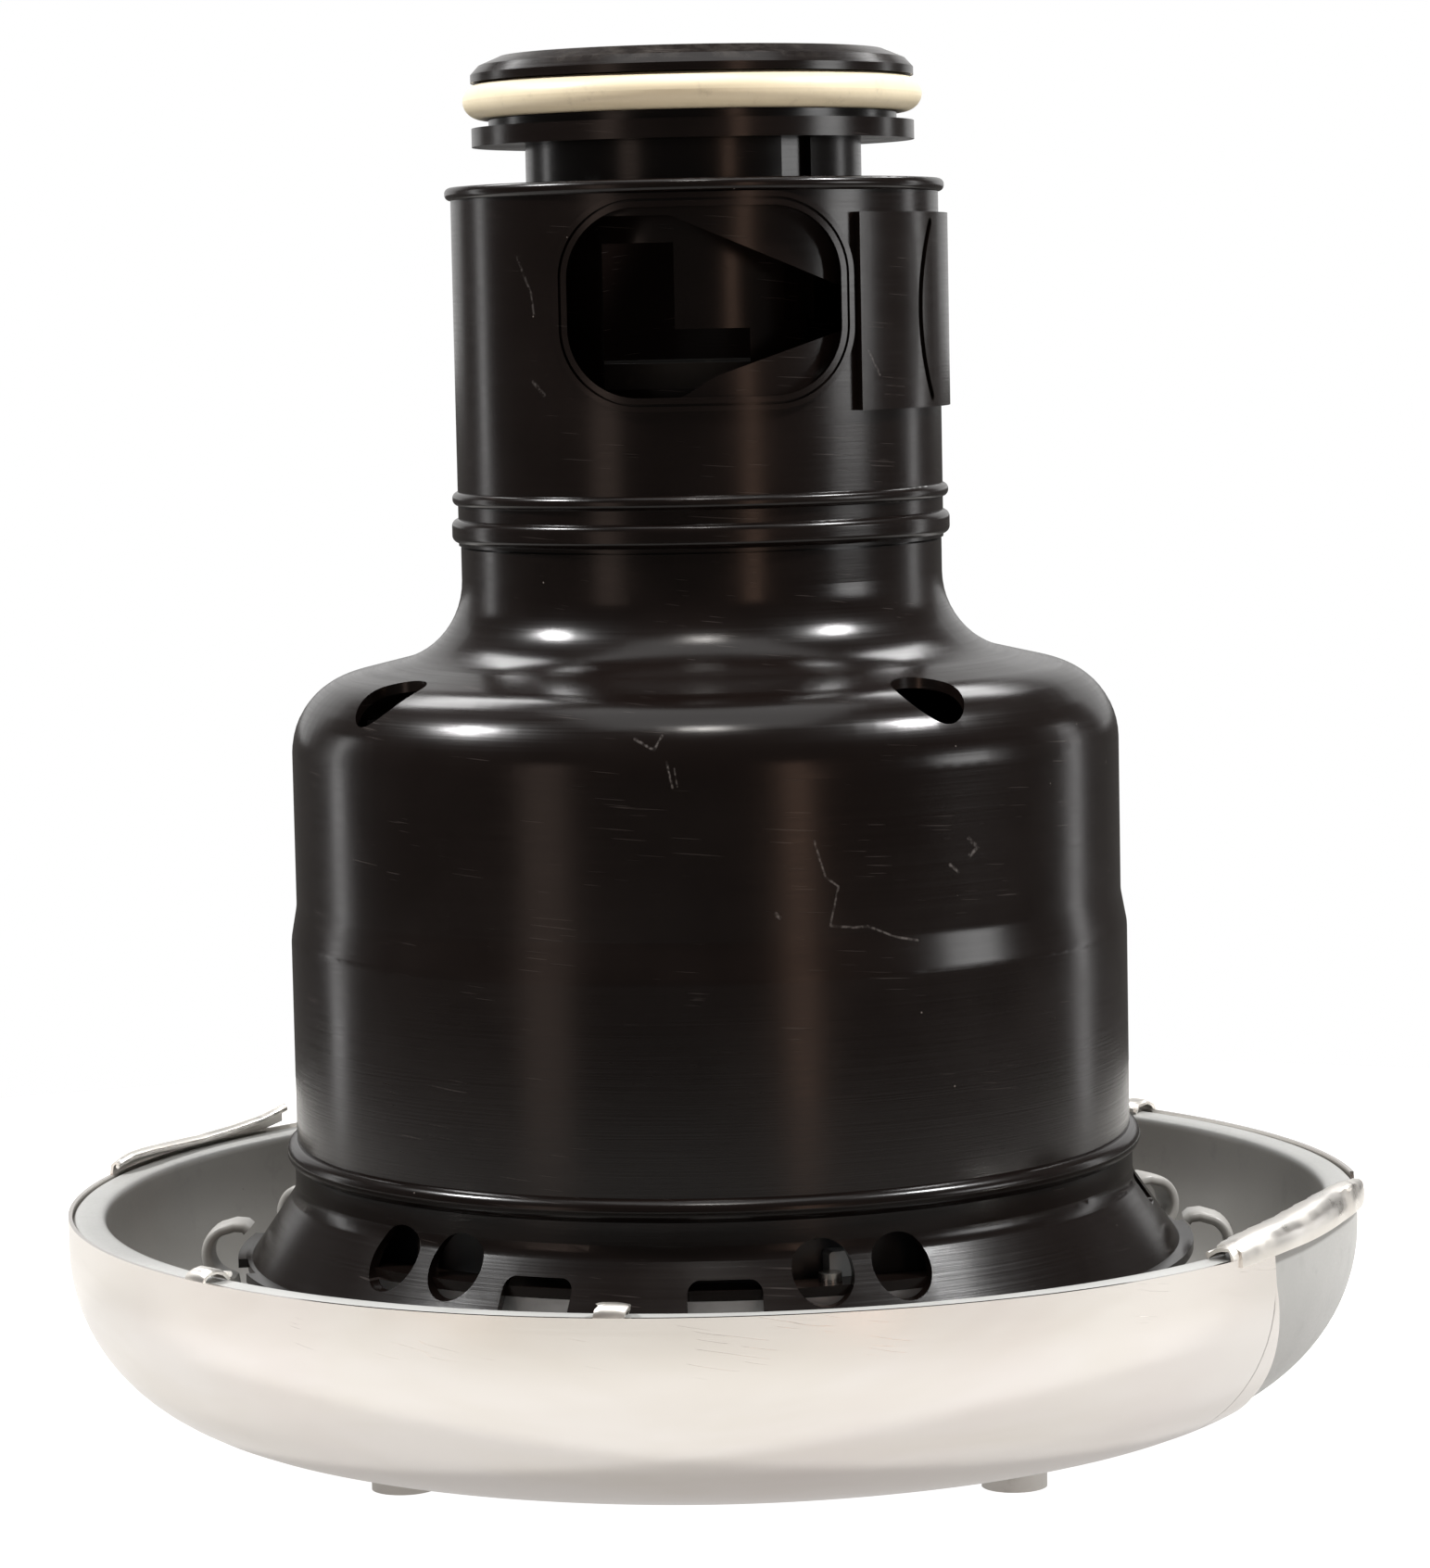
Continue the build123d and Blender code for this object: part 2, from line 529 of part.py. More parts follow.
# ---- discharge_outlet: flanged waste pipe stub ----
with BuildPart() as discharge_outlet:
    with BuildSketch(outward(180, OUTLET_Z, OUTLET_Y[0])):
        RectangleRounded(FLANGE_SIZE[0], FLANGE_SIZE[1], 5)
    extrude(amount=FLANGE_T)
    with BuildSketch(outward(180, OUTLET_Z, OUTLET_Y[0])):
        Circle(OUTLET_R)
    extrude(amount=OUTLET_Y[1] - OUTLET_Y[0])
    with BuildSketch(outward(180, OUTLET_Z, OUTLET_Y[0])):
        Circle(OUTLET_BORE_R)
    extrude(amount=OUTLET_Y[1] - OUTLET_Y[0], mode=Mode.SUBTRACT)
    with BuildSketch(outward(180, OUTLET_Z, OUTLET_Y[0])):
        with GridLocations(*OUTLET_SCREW_GRID, 2, 2):
            Circle(OUTLET_SCREW_R + SCREW_PLAY)
    extrude(amount=FLANGE_T, mode=Mode.SUBTRACT)
discharge_outlet.part.label = "discharge_outlet"
export_step(discharge_outlet.part, "parts/discharge_outlet.step")

# ---- discharge_screws ----
with BuildPart() as discharge_screws:
    with BuildSketch(outward(180, OUTLET_Z, OUTLET_Y[0] + FLANGE_T)):
        with GridLocations(*OUTLET_SCREW_GRID, 2, 2):
            RegularPolygon(OUTLET_SCREW_HEAD[0], 6)
    extrude(amount=OUTLET_SCREW_HEAD[1])
    with BuildSketch(outward(180, OUTLET_Z, OUTLET_Y[0] + FLANGE_T)):
        with GridLocations(*OUTLET_SCREW_GRID, 2, 2):
            Circle(OUTLET_SCREW_R)
    extrude(amount=-OUTLET_SCREW_LENGTH)
discharge_screws.part.label = "discharge_screws"
export_step(discharge_screws.part, "parts/discharge_screws.step")

# ---- lower_end_bell: cup that carries the motor, with the service boss underneath ----
with BuildPart() as lower_end_bell:
    with BuildSketch(Plane.XZ):
        with BuildLine():
            cup_line = FilletPolyline(
                (62, BELL_FLOOR_Z),
                (FRAME_R - 1, BELL_WALL_Z),
                (FRAME_R - 1, FRAME_Z[0] - 2),
                radius=10,
            )
            offset(cup_line, amount=3, side=Side.LEFT)
        make_face()
        band(FRAME_R - 4, BELL_FLANGE_R, FRAME_Z[0] - 4, FRAME_Z[0])
        band(0, 61, BELL_FLOOR_Z, BELL_FLOOR_Z + 3)
        band(BEARING_R, BEARING_R + 3.5, BELL_FLOOR_Z, LOWER_BEARING_TOP_Z)
        band(BOSS_R - 2.5, BOSS_R, BOSS_Z, BELL_FLOOR_Z + 1)
        band(0, BOSS_R, BOSS_Z, BOSS_Z + 3)
        band(0, SHAFT_R + 0.6, BELL_FLOOR_Z, BELL_FLOOR_Z + 3, Mode.SUBTRACT)
        band(0, 5, BOSS_Z, BOSS_Z + 3, Mode.SUBTRACT)
    revolve(axis=Axis.Z)
    with BuildSketch(Plane.XY.offset(BOSS_Z)):
        with Locations((BUTTON_X, 0)):
            Circle(BUTTON_R + GAP)
    extrude(amount=3, mode=Mode.SUBTRACT)
    with BuildSketch(Plane.XY.offset(BELL_FLOOR_Z)):
        with PolarLocations(BELL_HOLE_RING_R, BELL_HOLE_COUNT, start_angle=22.5):
            RectangleRounded(*BELL_HOLE_SIZE, 3)
    extrude(amount=3, mode=Mode.SUBTRACT)
    with BuildSketch(Plane.XY.offset(FRAME_Z[0] - 4)):
        with PolarLocations(SKIRT_SCREW_RING_R, 4, start_angle=polar(SKIRT_SCREW_CLOCK)):
            Circle(SKIRT_SCREW_R + SCREW_PLAY)
        with PolarLocations(THROUGH_BOLT_RING_R, 4, start_angle=polar(BOLT_CLOCKS[0])):
            Circle(BOLT_R + SCREW_PLAY)
    extrude(amount=4, mode=Mode.SUBTRACT)
lower_end_bell.part.label = "lower_end_bell"
export_step(lower_end_bell.part, "parts/lower_end_bell.step")

# ---- upper_end_bell ----
with BuildPart() as upper_end_bell:
    with BuildSketch(Plane.XZ):
        band(SHAFT_R + 0.6, FRAME_R, FRAME_Z[1], DRAIN_FLOOR_Z)
        band(BEARING_R, BEARING_R + 4, UPPER_SEAT_Z, FRAME_Z[1])
        band(FRAME_R - FRAME_WALL - 3, FRAME_R - FRAME_WALL, FRAME_Z[1] - 3, FRAME_Z[1])
    revolve(axis=Axis.Z)
    for clock in BOLT_CLOCKS:
        sector(FRAME_R - 3, 82, FRAME_Z[1], DRAIN_FLOOR_Z, clock - 4, 8)
    with BuildSketch(Plane.XY.offset(FRAME_Z[1])):
        with PolarLocations(THROUGH_BOLT_RING_R, 4, start_angle=polar(BOLT_CLOCKS[0])):
            Circle(BOLT_R + SCREW_PLAY)
        with PolarLocations(DRAIN_SCREW_RING_R, 4, start_angle=polar(BOLT_CLOCKS[0])):
            Circle(DRAIN_SCREW_R + SCREW_PLAY)
    extrude(amount=DRAIN_FLOOR_Z - FRAME_Z[1], mode=Mode.SUBTRACT)
upper_end_bell.part.label = "upper_end_bell"
export_step(upper_end_bell.part, "parts/upper_end_bell.step")

# ---- through_bolts: four long bolts with nuts that clamp the motor ----
with BuildPart() as through_bolts:
    with BuildSketch(Plane.XY.offset(FRAME_Z[0] - 7)):
        with PolarLocations(THROUGH_BOLT_RING_R, 4, start_angle=polar(BOLT_CLOCKS[0])):
            RegularPolygon(BOLT_HEX[0], 6)
    extrude(amount=BOLT_HEX[1])
    with BuildSketch(Plane.XY.offset(FRAME_Z[0] - 4)):
        with PolarLocations(THROUGH_BOLT_RING_R, 4, start_angle=polar(BOLT_CLOCKS[0])):
            Circle(BOLT_R)
    extrude(amount=DRAIN_FLOOR_Z - FRAME_Z[0] + 8.5)
    with BuildSketch(Plane.XY.offset(DRAIN_FLOOR_Z)):
        with PolarLocations(THROUGH_BOLT_RING_R, 4, start_angle=polar(BOLT_CLOCKS[0])):
            RegularPolygon(BOLT_HEX[0], 6)
    extrude(amount=BOLT_HEX[1])
through_bolts.part.label = "through_bolts"
export_step(through_bolts.part, "parts/through_bolts.step")

# ---- motor_frame ----
with BuildPart() as motor_frame:
    ring(FRAME_R - FRAME_WALL, FRAME_R, FRAME_Z[0], FRAME_Z[1])
motor_frame.part.label = "motor_frame"
export_step(motor_frame.part, "parts/motor_frame.step")

# ---- stator_core ----
with BuildPart() as stator_core:
    ring(CORE_BORE_R, FRAME_R - FRAME_WALL, CORE_Z[0], CORE_Z[1])
    with BuildSketch(Plane.XY.offset(CORE_Z[0])):
        with PolarLocations(SLOT_MID_R, SLOT_COUNT):
            RectangleRounded(SLOT_SIZE[0], SLOT_SIZE[1], 2)
    extrude(amount=CORE_Z[1] - CORE_Z[0], mode=Mode.SUBTRACT)
stator_core.part.label = "stator_core"
export_step(stator_core.part, "parts/stator_core.step")

# ---- stator_windings: end turns joined by the wire in the slots ----
with BuildPart() as stator_windings:
    with BuildSketch(Plane.XY.offset(CORE_Z[0])):
        with PolarLocations(SLOT_MID_R, SLOT_COUNT):
            RectangleRounded(SLOT_SIZE[0], SLOT_SIZE[1], 2)
    extrude(amount=CORE_Z[1] - CORE_Z[0])
    with BuildSketch(Plane.XZ):
        with Locations((SLOT_MID_R, CORE_Z[0] - END_TURN_H / 2)):
            RectangleRounded(SLOT_SIZE[0] + 2, END_TURN_H, 4)
        with Locations((SLOT_MID_R, CORE_Z[1] + END_TURN_H / 2)):
            RectangleRounded(SLOT_SIZE[0] + 2, END_TURN_H, 4)
    revolve(axis=Axis.Z)
stator_windings.part.label = "stator_windings"
export_step(stator_windings.part, "parts/stator_windings.step")

# ---- lower_bearing, upper_bearing and thrust_washer ----
with BuildPart() as lower_bearing:
    ring(SHAFT_R + RUNNING, BEARING_R, BELL_FLOOR_Z + 3, LOWER_BEARING_TOP_Z)
lower_bearing.part.label = "lower_bearing"
export_step(lower_bearing.part, "parts/lower_bearing.step")

with BuildPart() as upper_bearing:
    ring(SHAFT_R + RUNNING, BEARING_R, UPPER_SEAT_Z + 0.5, FRAME_Z[1])
upper_bearing.part.label = "upper_bearing"
export_step(upper_bearing.part, "parts/upper_bearing.step")

with BuildPart() as thrust_washer:
    ring(SHAFT_R + RUNNING, BEARING_R - 1, LOWER_BEARING_TOP_Z, FAN_Z - 0.1)
thrust_washer.part.label = "thrust_washer"
export_step(thrust_washer.part, "parts/thrust_washer.step")

# ---- start_capacitor and start_relay under the lower end bell ----
with BuildPart() as start_capacitor:
    with BuildSketch(Plane.XY.offset(BELL_FLOOR_Z - ELECTRICS_DEPTH)):
        with Locations((CAPACITOR_X, 0)):
            RectangleRounded(*CAPACITOR_SIZE, 5)
    extrude(amount=ELECTRICS_DEPTH)
start_capacitor.part.label = "start_capacitor"
export_step(start_capacitor.part, "parts/start_capacitor.step")

with BuildPart() as start_relay:
    with BuildSketch(Plane.XY.offset(BELL_FLOOR_Z - ELECTRICS_DEPTH)):
        with Locations((0, RELAY_Y)):
            RectangleRounded(*RELAY_SIZE, 2)
    extrude(amount=ELECTRICS_DEPTH)
start_relay.part.label = "start_relay"
export_step(start_relay.part, "parts/start_relay.step")

# ---- overload_protector above the reset button ----
with BuildPart() as overload_protector:
    with BuildSketch(Plane.XY.offset(BOSS_Z + 9)):
        with Locations((BUTTON_X, 0)):
            RectangleRounded(8, 10, 1)
    extrude(amount=BELL_FLOOR_Z - BOSS_Z - 9)
overload_protector.part.label = "overload_protector"
export_step(overload_protector.part, "parts/overload_protector.step")

# ---- terminal_block beside the motor frame ----
with BuildPart() as terminal_block:
    with BuildSketch(outward(TERMINAL_CLOCK, FRAME_Z[0] + 3.4, FRAME_R + 0.2)):
        RectangleRounded(5, 6.8, 0.8)
    extrude(amount=4.2)
terminal_block.part.label = "terminal_block"
export_step(terminal_block.part, "parts/terminal_block.step")

# ---- cord_gland and gland_nut: empty cable inlet at the rear ----
with BuildPart() as cord_gland:
    drill(GLAND_CLOCK, GLAND_Z, GLAND_R + 3.5, FRAME_R + 3, 89, Mode.ADD)
    ring(0, SHELL_LOW_R, GLAND_Z - 20, GLAND_Z + 20, Mode.SUBTRACT)
    drill(GLAND_CLOCK, GLAND_Z, GLAND_R, FRAME_R + 1.5, 97, Mode.ADD)
    drill(GLAND_CLOCK, GLAND_Z, GLAND_BORE_R, FRAME_R, 100)
cord_gland.part.label = "cord_gland"
export_step(cord_gland.part, "parts/cord_gland.step")

with BuildPart() as gland_nut:
    with BuildSketch(outward(GLAND_CLOCK, GLAND_Z, FRAME_R + 2)):
        RegularPolygon(GLAND_R + 3, 6)
        Circle(GLAND_R, mode=Mode.SUBTRACT)
    extrude(amount=3)
gland_nut.part.label = "gland_nut"
export_step(gland_nut.part, "parts/gland_nut.step")

# ---- rotor_shaft: stepped shaft with a hex socket underneath ----
with BuildPart() as rotor_shaft:
    ring(0, SHAFT_TIP_R, BOSS_Z + 4.5, SHAFT_STEP_Z)
    ring(0, SHAFT_R, SHAFT_STEP_Z, TURNTABLE_Z)
    ring(0, STUD_R, TURNTABLE_Z, SHAFT_TOP_Z)
    with BuildSketch(Plane.XY.offset(BOSS_Z + 4.5)):
        RegularPolygon(HEX_SOCKET_R, 6)
    extrude(amount=HEX_SOCKET_DEPTH, mode=Mode.SUBTRACT)
rotor_shaft.part.label = "rotor_shaft"
export_step(rotor_shaft.part, "parts/rotor_shaft.step")

# ---- rotor_core with its cast end rings ----
with BuildPart() as rotor_core:
    ring(SHAFT_R, CORE_BORE_R - AIR_GAP, CORE_Z[0], CORE_Z[1])
    ring(*END_RING_R, CORE_Z[0] - END_RING_H, CORE_Z[1] + END_RING_H)
rotor_core.part.label = "rotor_core"
export_step(rotor_core.part, "parts/rotor_core.step")

# ---- cooling_fan ----
with BuildPart() as cooling_fan:
    ring(SHAFT_R, FAN_HUB_R, FAN_Z, FAN_HUB_TOP_Z)
    ring(SHAFT_R, FAN_R, FAN_Z, FAN_Z + 1.6)
    with BuildSketch(Plane.XY.offset(FAN_Z)):
        with PolarLocations((FAN_R + FAN_HUB_R - 1) / 2, FAN_BLADES):
            Rectangle(FAN_R - FAN_HUB_R + 1, 1.8)
    extrude(amount=10)
cooling_fan.part.label = "cooling_fan"
export_step(cooling_fan.part, "parts/cooling_fan.step")

# ---- turntable, turntable_nut and lug_pins ----
with BuildPart() as turntable:
    with BuildSketch(Plane.XZ):
        band(STUD_R, TURNTABLE_R, TURNTABLE_Z, TURNTABLE_Z + TURNTABLE_T)
        band(TURNTABLE_R - 3, TURNTABLE_R, TURNTABLE_Z - 3, TURNTABLE_Z)
        band(SHAFT_R, SHAFT_R + 5, TURNTABLE_Z - 6, TURNTABLE_Z)
    revolve(axis=Axis.Z)
    with BuildSketch(Plane.XY.offset(TURNTABLE_Z - 4)):
        with PolarLocations(TURNTABLE_R, 8, start_angle=22.5):
            Circle(2.5)
        with PolarLocations(LUG_PIVOT_R, 2):
            Circle(LUG_PIN_R)
        with PolarLocations(LUG_PIVOT_R, 2, start_angle=90):
            Circle(4)
    extrude(amount=8, mode=Mode.SUBTRACT)
turntable.part.label = "turntable"
export_step(turntable.part, "parts/turntable.step")

with BuildPart() as turntable_nut:
    with BuildSketch(Plane.XY.offset(TURNTABLE_Z + TURNTABLE_T)):
        RegularPolygon(TURNTABLE_NUT_R, 6)
        Circle(STUD_R, mode=Mode.SUBTRACT)
    extrude(amount=6.5)
turntable_nut.part.label = "turntable_nut"
export_step(turntable_nut.part, "parts/turntable_nut.step")

with BuildPart() as lug_pins:
    with BuildSketch(Plane.XY.offset(TURNTABLE_Z)):
        with PolarLocations(LUG_PIVOT_R, 2):
            Circle(LUG_PIN_R)
    extrude(amount=13.5)
    with BuildSketch(Plane.XY.offset(TURNTABLE_Z - 2)):
        with PolarLocations(LUG_PIVOT_R, 2):
            Circle(LUG_PIN_R + 2)
    extrude(amount=2)
    with BuildSketch(Plane.XY.offset(TURNTABLE_Z + 13.3)):
        with PolarLocations(LUG_PIVOT_R, 2):
            Circle(LUG_PIN_R + 2)
    extrude(amount=2)
lug_pins.part.label = "lug_pins"
export_step(lug_pins.part, "parts/lug_pins.step")

# ---- swivel_lug_a and swivel_lug_b: free-swinging impellers ----
for letter, turn in (("a", 0), ("b", 180)):
    with BuildPart() as swivel_lug:
        with BuildSketch(Plane.XY.offset(TURNTABLE_Z + TURNTABLE_T + GAP).rotated((0, 0, turn))):
            with Locations((LUG_PIVOT_R, 0)):
                Circle(LUG_R[0])
            with Locations((LUG_PIVOT_R + LUG_REACH * cos(0.7), LUG_REACH * sin(0.7))):
                Circle(LUG_R[1])
            make_hull()
            with Locations((LUG_PIVOT_R, 0)):
                Circle(LUG_PIN_R + RUNNING, mode=Mode.SUBTRACT)
        extrude(amount=LUG_H)
        chamfer(swivel_lug.faces().sort_by(Axis.Z)[-1].outer_wire().edges(), 1)
    swivel_lug.part.label = "swivel_lug_" + letter
    export_step(swivel_lug.part, "parts/swivel_lug_" + letter + ".step")

# ---- reset_button ----
with BuildPart() as reset_button:
    with BuildSketch(Plane.XY.offset(BOSS_Z - 2)):
        with Locations((BUTTON_X, 0)):
            Circle(BUTTON_R)
    extrude(amount=8)
    with BuildSketch(Plane.XY.offset(BOSS_Z + 3.2)):
        with Locations((BUTTON_X, 0)):
            Circle(BUTTON_R + 1.1)
    extrude(amount=1.6)
    fillet(reset_button.edges().sort_by(Axis.Z)[0], 0.6)
reset_button.part.label = "reset_button"
export_step(reset_button.part, "parts/reset_button.step")

# ---- helical cam slot of the spigot, made at angle nought and turned into place later ----
with BuildPart() as cam_slot:
    slot_pitch = SPIGOT_DRAW * 360 / COLLAR_TWIST
    slot_rise = slot_pitch * (COLLAR_TWIST + 2 * SLOT_RUNOUT) / 360
    slot_foot = CAM_PIN_Z - SPIGOT_DRAW * SLOT_RUNOUT / COLLAR_TWIST
    with BuildLine() as slot_path:
        Helix(slot_pitch, slot_rise, (SPIGOT_BORE_R + SPIGOT_TUBE_R) / 2, center=(0, 0, slot_foot))
    with BuildSketch(Plane(slot_path.line @ 0, x_dir=(1, 0, 0), z_dir=slot_path.line % 0)):
        Rectangle(8, 2 * CAM_PIN_R + 0.7)
    sweep(path=slot_path.line, is_frenet=True)

# ---- throat_spigot: flanged tube that plugs into the sink outlet ----
with BuildPart() as throat_spigot:
    with BuildSketch(Plane.XZ):
        band(SPIGOT_BORE_R, SPIGOT_TUBE_R, SPIGOT_FOOT_Z, SPIGOT_FLANGE_Z)
        band(SPIGOT_BORE_R, SPIGOT_FLANGE_R, SPIGOT_FLANGE_Z, SPIGOT_FLANGE_Z + 3.7)
        band(SPIGOT_BORE_R, 40.8, SPIGOT_FLANGE_Z + 3.7, RING_GROOVE_Z[0])
        band(SPIGOT_BORE_R, RING_R - RING_HALF[0], RING_GROOVE_Z[0], RING_GROOVE_Z[1])
        with BuildLine():
            Polyline(
                (SPIGOT_BORE_R, RING_GROOVE_Z[1]),
                (SPIGOT_FLANGE_R, RING_GROOVE_Z[1]),
                (SPIGOT_FLANGE_R, 279.6),
                (42.6, 281.4),
                (38.3, SPIGOT_TOP_Z),
                (SPIGOT_BORE_R, SPIGOT_TOP_Z),
                close=True,
            )
        make_face()
        band(0, GUARD_R + 0.2, GUARD_Z, SPIGOT_TOP_Z, Mode.SUBTRACT)
    revolve(axis=Axis.Z)
    with BuildSketch(outward(KEY_CLOCK, (KEYWAY_Z + SPIGOT_FLANGE_Z) / 2, SPIGOT_TUBE_R - 2.2)):
        Rectangle(KEYWAY_W, SPIGOT_FLANGE_Z - KEYWAY_Z)
    extrude(amount=5, mode=Mode.SUBTRACT)
    with BuildSketch(outward(0, 0, 15)):
        with Locations(L_SLOT_CORNER):
            Rectangle(*L_SLOT_UPRIGHT, align=(Align.MIN, Align.MIN))
            Rectangle(*L_SLOT_FOOT, align=(Align.MIN, Align.MIN))
    extrude(amount=30, mode=Mode.SUBTRACT)
    for clock in CAM_PIN_CLOCKS:
        add(cam_slot.part, rotation=(0, 0, polar(clock - SLOT_RUNOUT)), mode=Mode.SUBTRACT)
throat_spigot.part.label = "throat_spigot"
export_step(throat_spigot.part, "parts/throat_spigot.step")

# ---- sink_o_ring ----
with BuildPart() as sink_o_ring:
    with BuildSketch(Plane.XZ):
        with Locations((RING_R, (RING_GROOVE_Z[0] + RING_GROOVE_Z[1]) / 2)):
            Ellipse(*RING_HALF)
    revolve(axis=Axis.Z)
sink_o_ring.part.label = "sink_o_ring"
export_step(sink_o_ring.part, "parts/sink_o_ring.step")

# ---- splash_guard: rubber ring with short flaps round the open throat ----
with BuildPart() as splash_guard:
    ring(GUARD_BORE_R, GUARD_R, GUARD_Z, GUARD_Z + GUARD_T)
    with BuildSketch(Plane.XY.offset(GUARD_Z)):
        with PolarLocations(GUARD_BORE_R, GUARD_SLITS):
            Rectangle(GUARD_SLIT_SIZE[0], GUARD_SLIT_SIZE[1])
    extrude(amount=GUARD_T, mode=Mode.SUBTRACT)
splash_guard.part.label = "splash_guard"
export_step(splash_guard.part, "parts/splash_guard.step")

# ---- window frame beads, used by the collar ----
with BuildPart() as window_beads:
    for inner, outer in ((0, 1.1), (1.6, 2.6)):
        with BuildSketch(outward(WINDOW_CLOCK, WINDOW_Z, 30)):
            RectangleRounded(WINDOW_SIZE[0] + 2 * outer, WINDOW_SIZE[1] + 2 * outer, WINDOW_CORNER_R + outer)
            RectangleRounded(
                WINDOW_SIZE[0] + 2 * inner,
                WINDOW_SIZE[1] + 2 * inner,
                WINDOW_CORNER_R + inner,
                mode=Mode.SUBTRACT,
            )
        extrude(amount=30)
    ring(0, COLLAR_R + 0.8, 200, 262, Mode.INTERSECT)
    ring(0, COLLAR_R - 1, 200, 262, Mode.SUBTRACT)

# ---- twist_collar: turning sleeve with a framed window and a raised grip panel ----
with BuildPart() as twist_collar:
    with BuildSketch(Plane.XZ):
        band(COLLAR_R - WALL, COLLAR_R, COLLAR_Z[0], COLLAR_Z[1] - 1)
        band(COLLAR_LIP_R, COLLAR_R - 0.5, COLLAR_Z[1] - 3, COLLAR_Z[1] - 1)
        with Locations((COLLAR_R - 0.3, 189)):
            RectangleRounded(3.2, 4.8, 1.5)
        with Locations((COLLAR_R - 0.45, 195.4)):
            RectangleRounded(3.1, 2.8, 1.3)
        with Locations((COLLAR_R - 0.4, COLLAR_Z[1] - 1.3)):
            RectangleRounded(3.2, 2.6, 1.2)
    revolve(axis=Axis.Z)
    add(window_beads.part)
    sector(COLLAR_R - 1, COLLAR_R + 1.8, GRIP_Z[0], GRIP_Z[1], GRIP_START, GRIP_ARC)
    with BuildSketch(outward(GROOVE_CLOCK, (GRIP_Z[0] + GRIP_Z[1]) / 2, COLLAR_R + 0.1)):
        with BuildLine(mode=Mode.PRIVATE) as slot_curve:
            ThreePointArc((3, 17), (-2, 0), (3, -17))
        SlotArc(slot_curve.edges()[0], 1.8)
    extrude(amount=5, mode=Mode.SUBTRACT)
    with BuildSketch(outward(WINDOW_CLOCK, WINDOW_Z, 20)):
        RectangleRounded(WINDOW_SIZE[0], WINDOW_SIZE[1], WINDOW_CORNER_R)
    extrude(amount=THROUGH, mode=Mode.SUBTRACT)
    ring(0, COLLAR_R - WALL, COLLAR_Z[0], COLLAR_Z[1] - 3, Mode.SUBTRACT)
    for clock in CAM_PIN_CLOCKS:
        drill(clock, CAM_PIN_Z, CAM_PIN_R, 40, COLLAR_R - 0.4)
twist_collar.part.label = "twist_collar"
export_step(twist_collar.part, "parts/twist_collar.step")

# ---- cam_pins ----
with BuildPart() as cam_pins:
    for clock in CAM_PIN_CLOCKS:
        drill(clock, CAM_PIN_Z, CAM_PIN_R, SPIGOT_BORE_R + 0.9, COLLAR_R - 0.4, Mode.ADD)
cam_pins.part.label = "cam_pins"
export_step(cam_pins.part, "parts/cam_pins.step")

# ---- inner_bowl: moulded dish with hooks that grip the skirt flange ----
with BuildPart() as inner_bowl:
    with BuildSketch(Plane.XZ):
        with BuildLine():
            outer_start = dish_outline(SKIN_T, SERVICE_HOLE_R, BOWL_RIM_Z)
            inner_start = dish_outline(DISH_R - BOWL_MOUTH_R, SERVICE_HOLE_R, BOWL_RIM_Z)
            Line(outer_start, inner_start)
            Line((DISH_R - SKIN_T, BOWL_RIM_Z), (BOWL_MOUTH_R, BOWL_RIM_Z))
        make_face()
    revolve(axis=Axis.Z)
    for clock in HOOK_CLOCKS:
        with BuildSketch(upright(clock)):
            with BuildLine(mode=Mode.PRIVATE) as hook_curve:
                ThreePointArc((HOOK_R, 36), (HOOK_R + 4.5, 41.5), (HOOK_R, HOOK_TIP_Z))
            SlotArc(hook_curve.edges()[0], 2.4)
            band(HOOK_R - 3.4, HOOK_R + 0.5, HOOK_TIP_Z - 1.2, HOOK_TIP_Z + 1.2)
            band(HOOK_R - 1.2, HOOK_R + 1.2, 17, 37)
        extrude(amount=4, both=True)
    for clock in FOOT_CLOCKS:
        foot = polar(clock)
        with BuildSketch(Plane.XY):
            with PolarLocations(FOOT_RING_R, 1, start_angle=foot):
                Circle(FOOT_STEM_R + 0.2)
        extrude(amount=20, mode=Mode.SUBTRACT)
inner_bowl.part.label = "inner_bowl"
export_step(inner_bowl.part, "parts/inner_bowl.step")

# ---- stainless_skin: thin outer dish with folded tabs and a cut-away side ----
with BuildPart() as stainless_skin:
    with BuildSketch(Plane.XZ):
        with BuildLine():
            outer_start = dish_outline(0, SERVICE_HOLE_R, RIM_Z)
            inner_start = dish_outline(SKIN_T, SERVICE_HOLE_R, RIM_Z)
            Line(outer_start, inner_start)
            Line((DISH_R, RIM_Z), (DISH_R - SKIN_T, RIM_Z))
        make_face()
    revolve(axis=Axis.Z)
    sector(88, DISH_R + 2, 5, RIM_Z + 1, CUTAWAY[0], CUTAWAY[1] - CUTAWAY[0], Mode.SUBTRACT)
    for clock in TAB_CLOCKS:
        sector(DISH_R - 5.5, DISH_R, BOWL_RIM_Z, RIM_Z + 0.6, clock - 1.4, 2.8)
        sector(DISH_R - 6.3, DISH_R - 5.3, BOWL_RIM_Z, RIM_Z + 2, clock - 1.4, 2.8)
    for start, end in LIPS:
        sector(DISH_R - 5, DISH_R, BOWL_RIM_Z + 0.2, RIM_Z + 1, start, end - start)
    for clock in FOOT_CLOCKS:
        foot = polar(clock)
        with BuildSketch(Plane.XY):
            with PolarLocations(FOOT_RING_R, 1, start_angle=foot):
                Circle(FOOT_STEM_R + 0.2)
        extrude(amount=20, mode=Mode.SUBTRACT)
stainless_skin.part.label = "stainless_skin"
export_step(stainless_skin.part, "parts/stainless_skin.step")

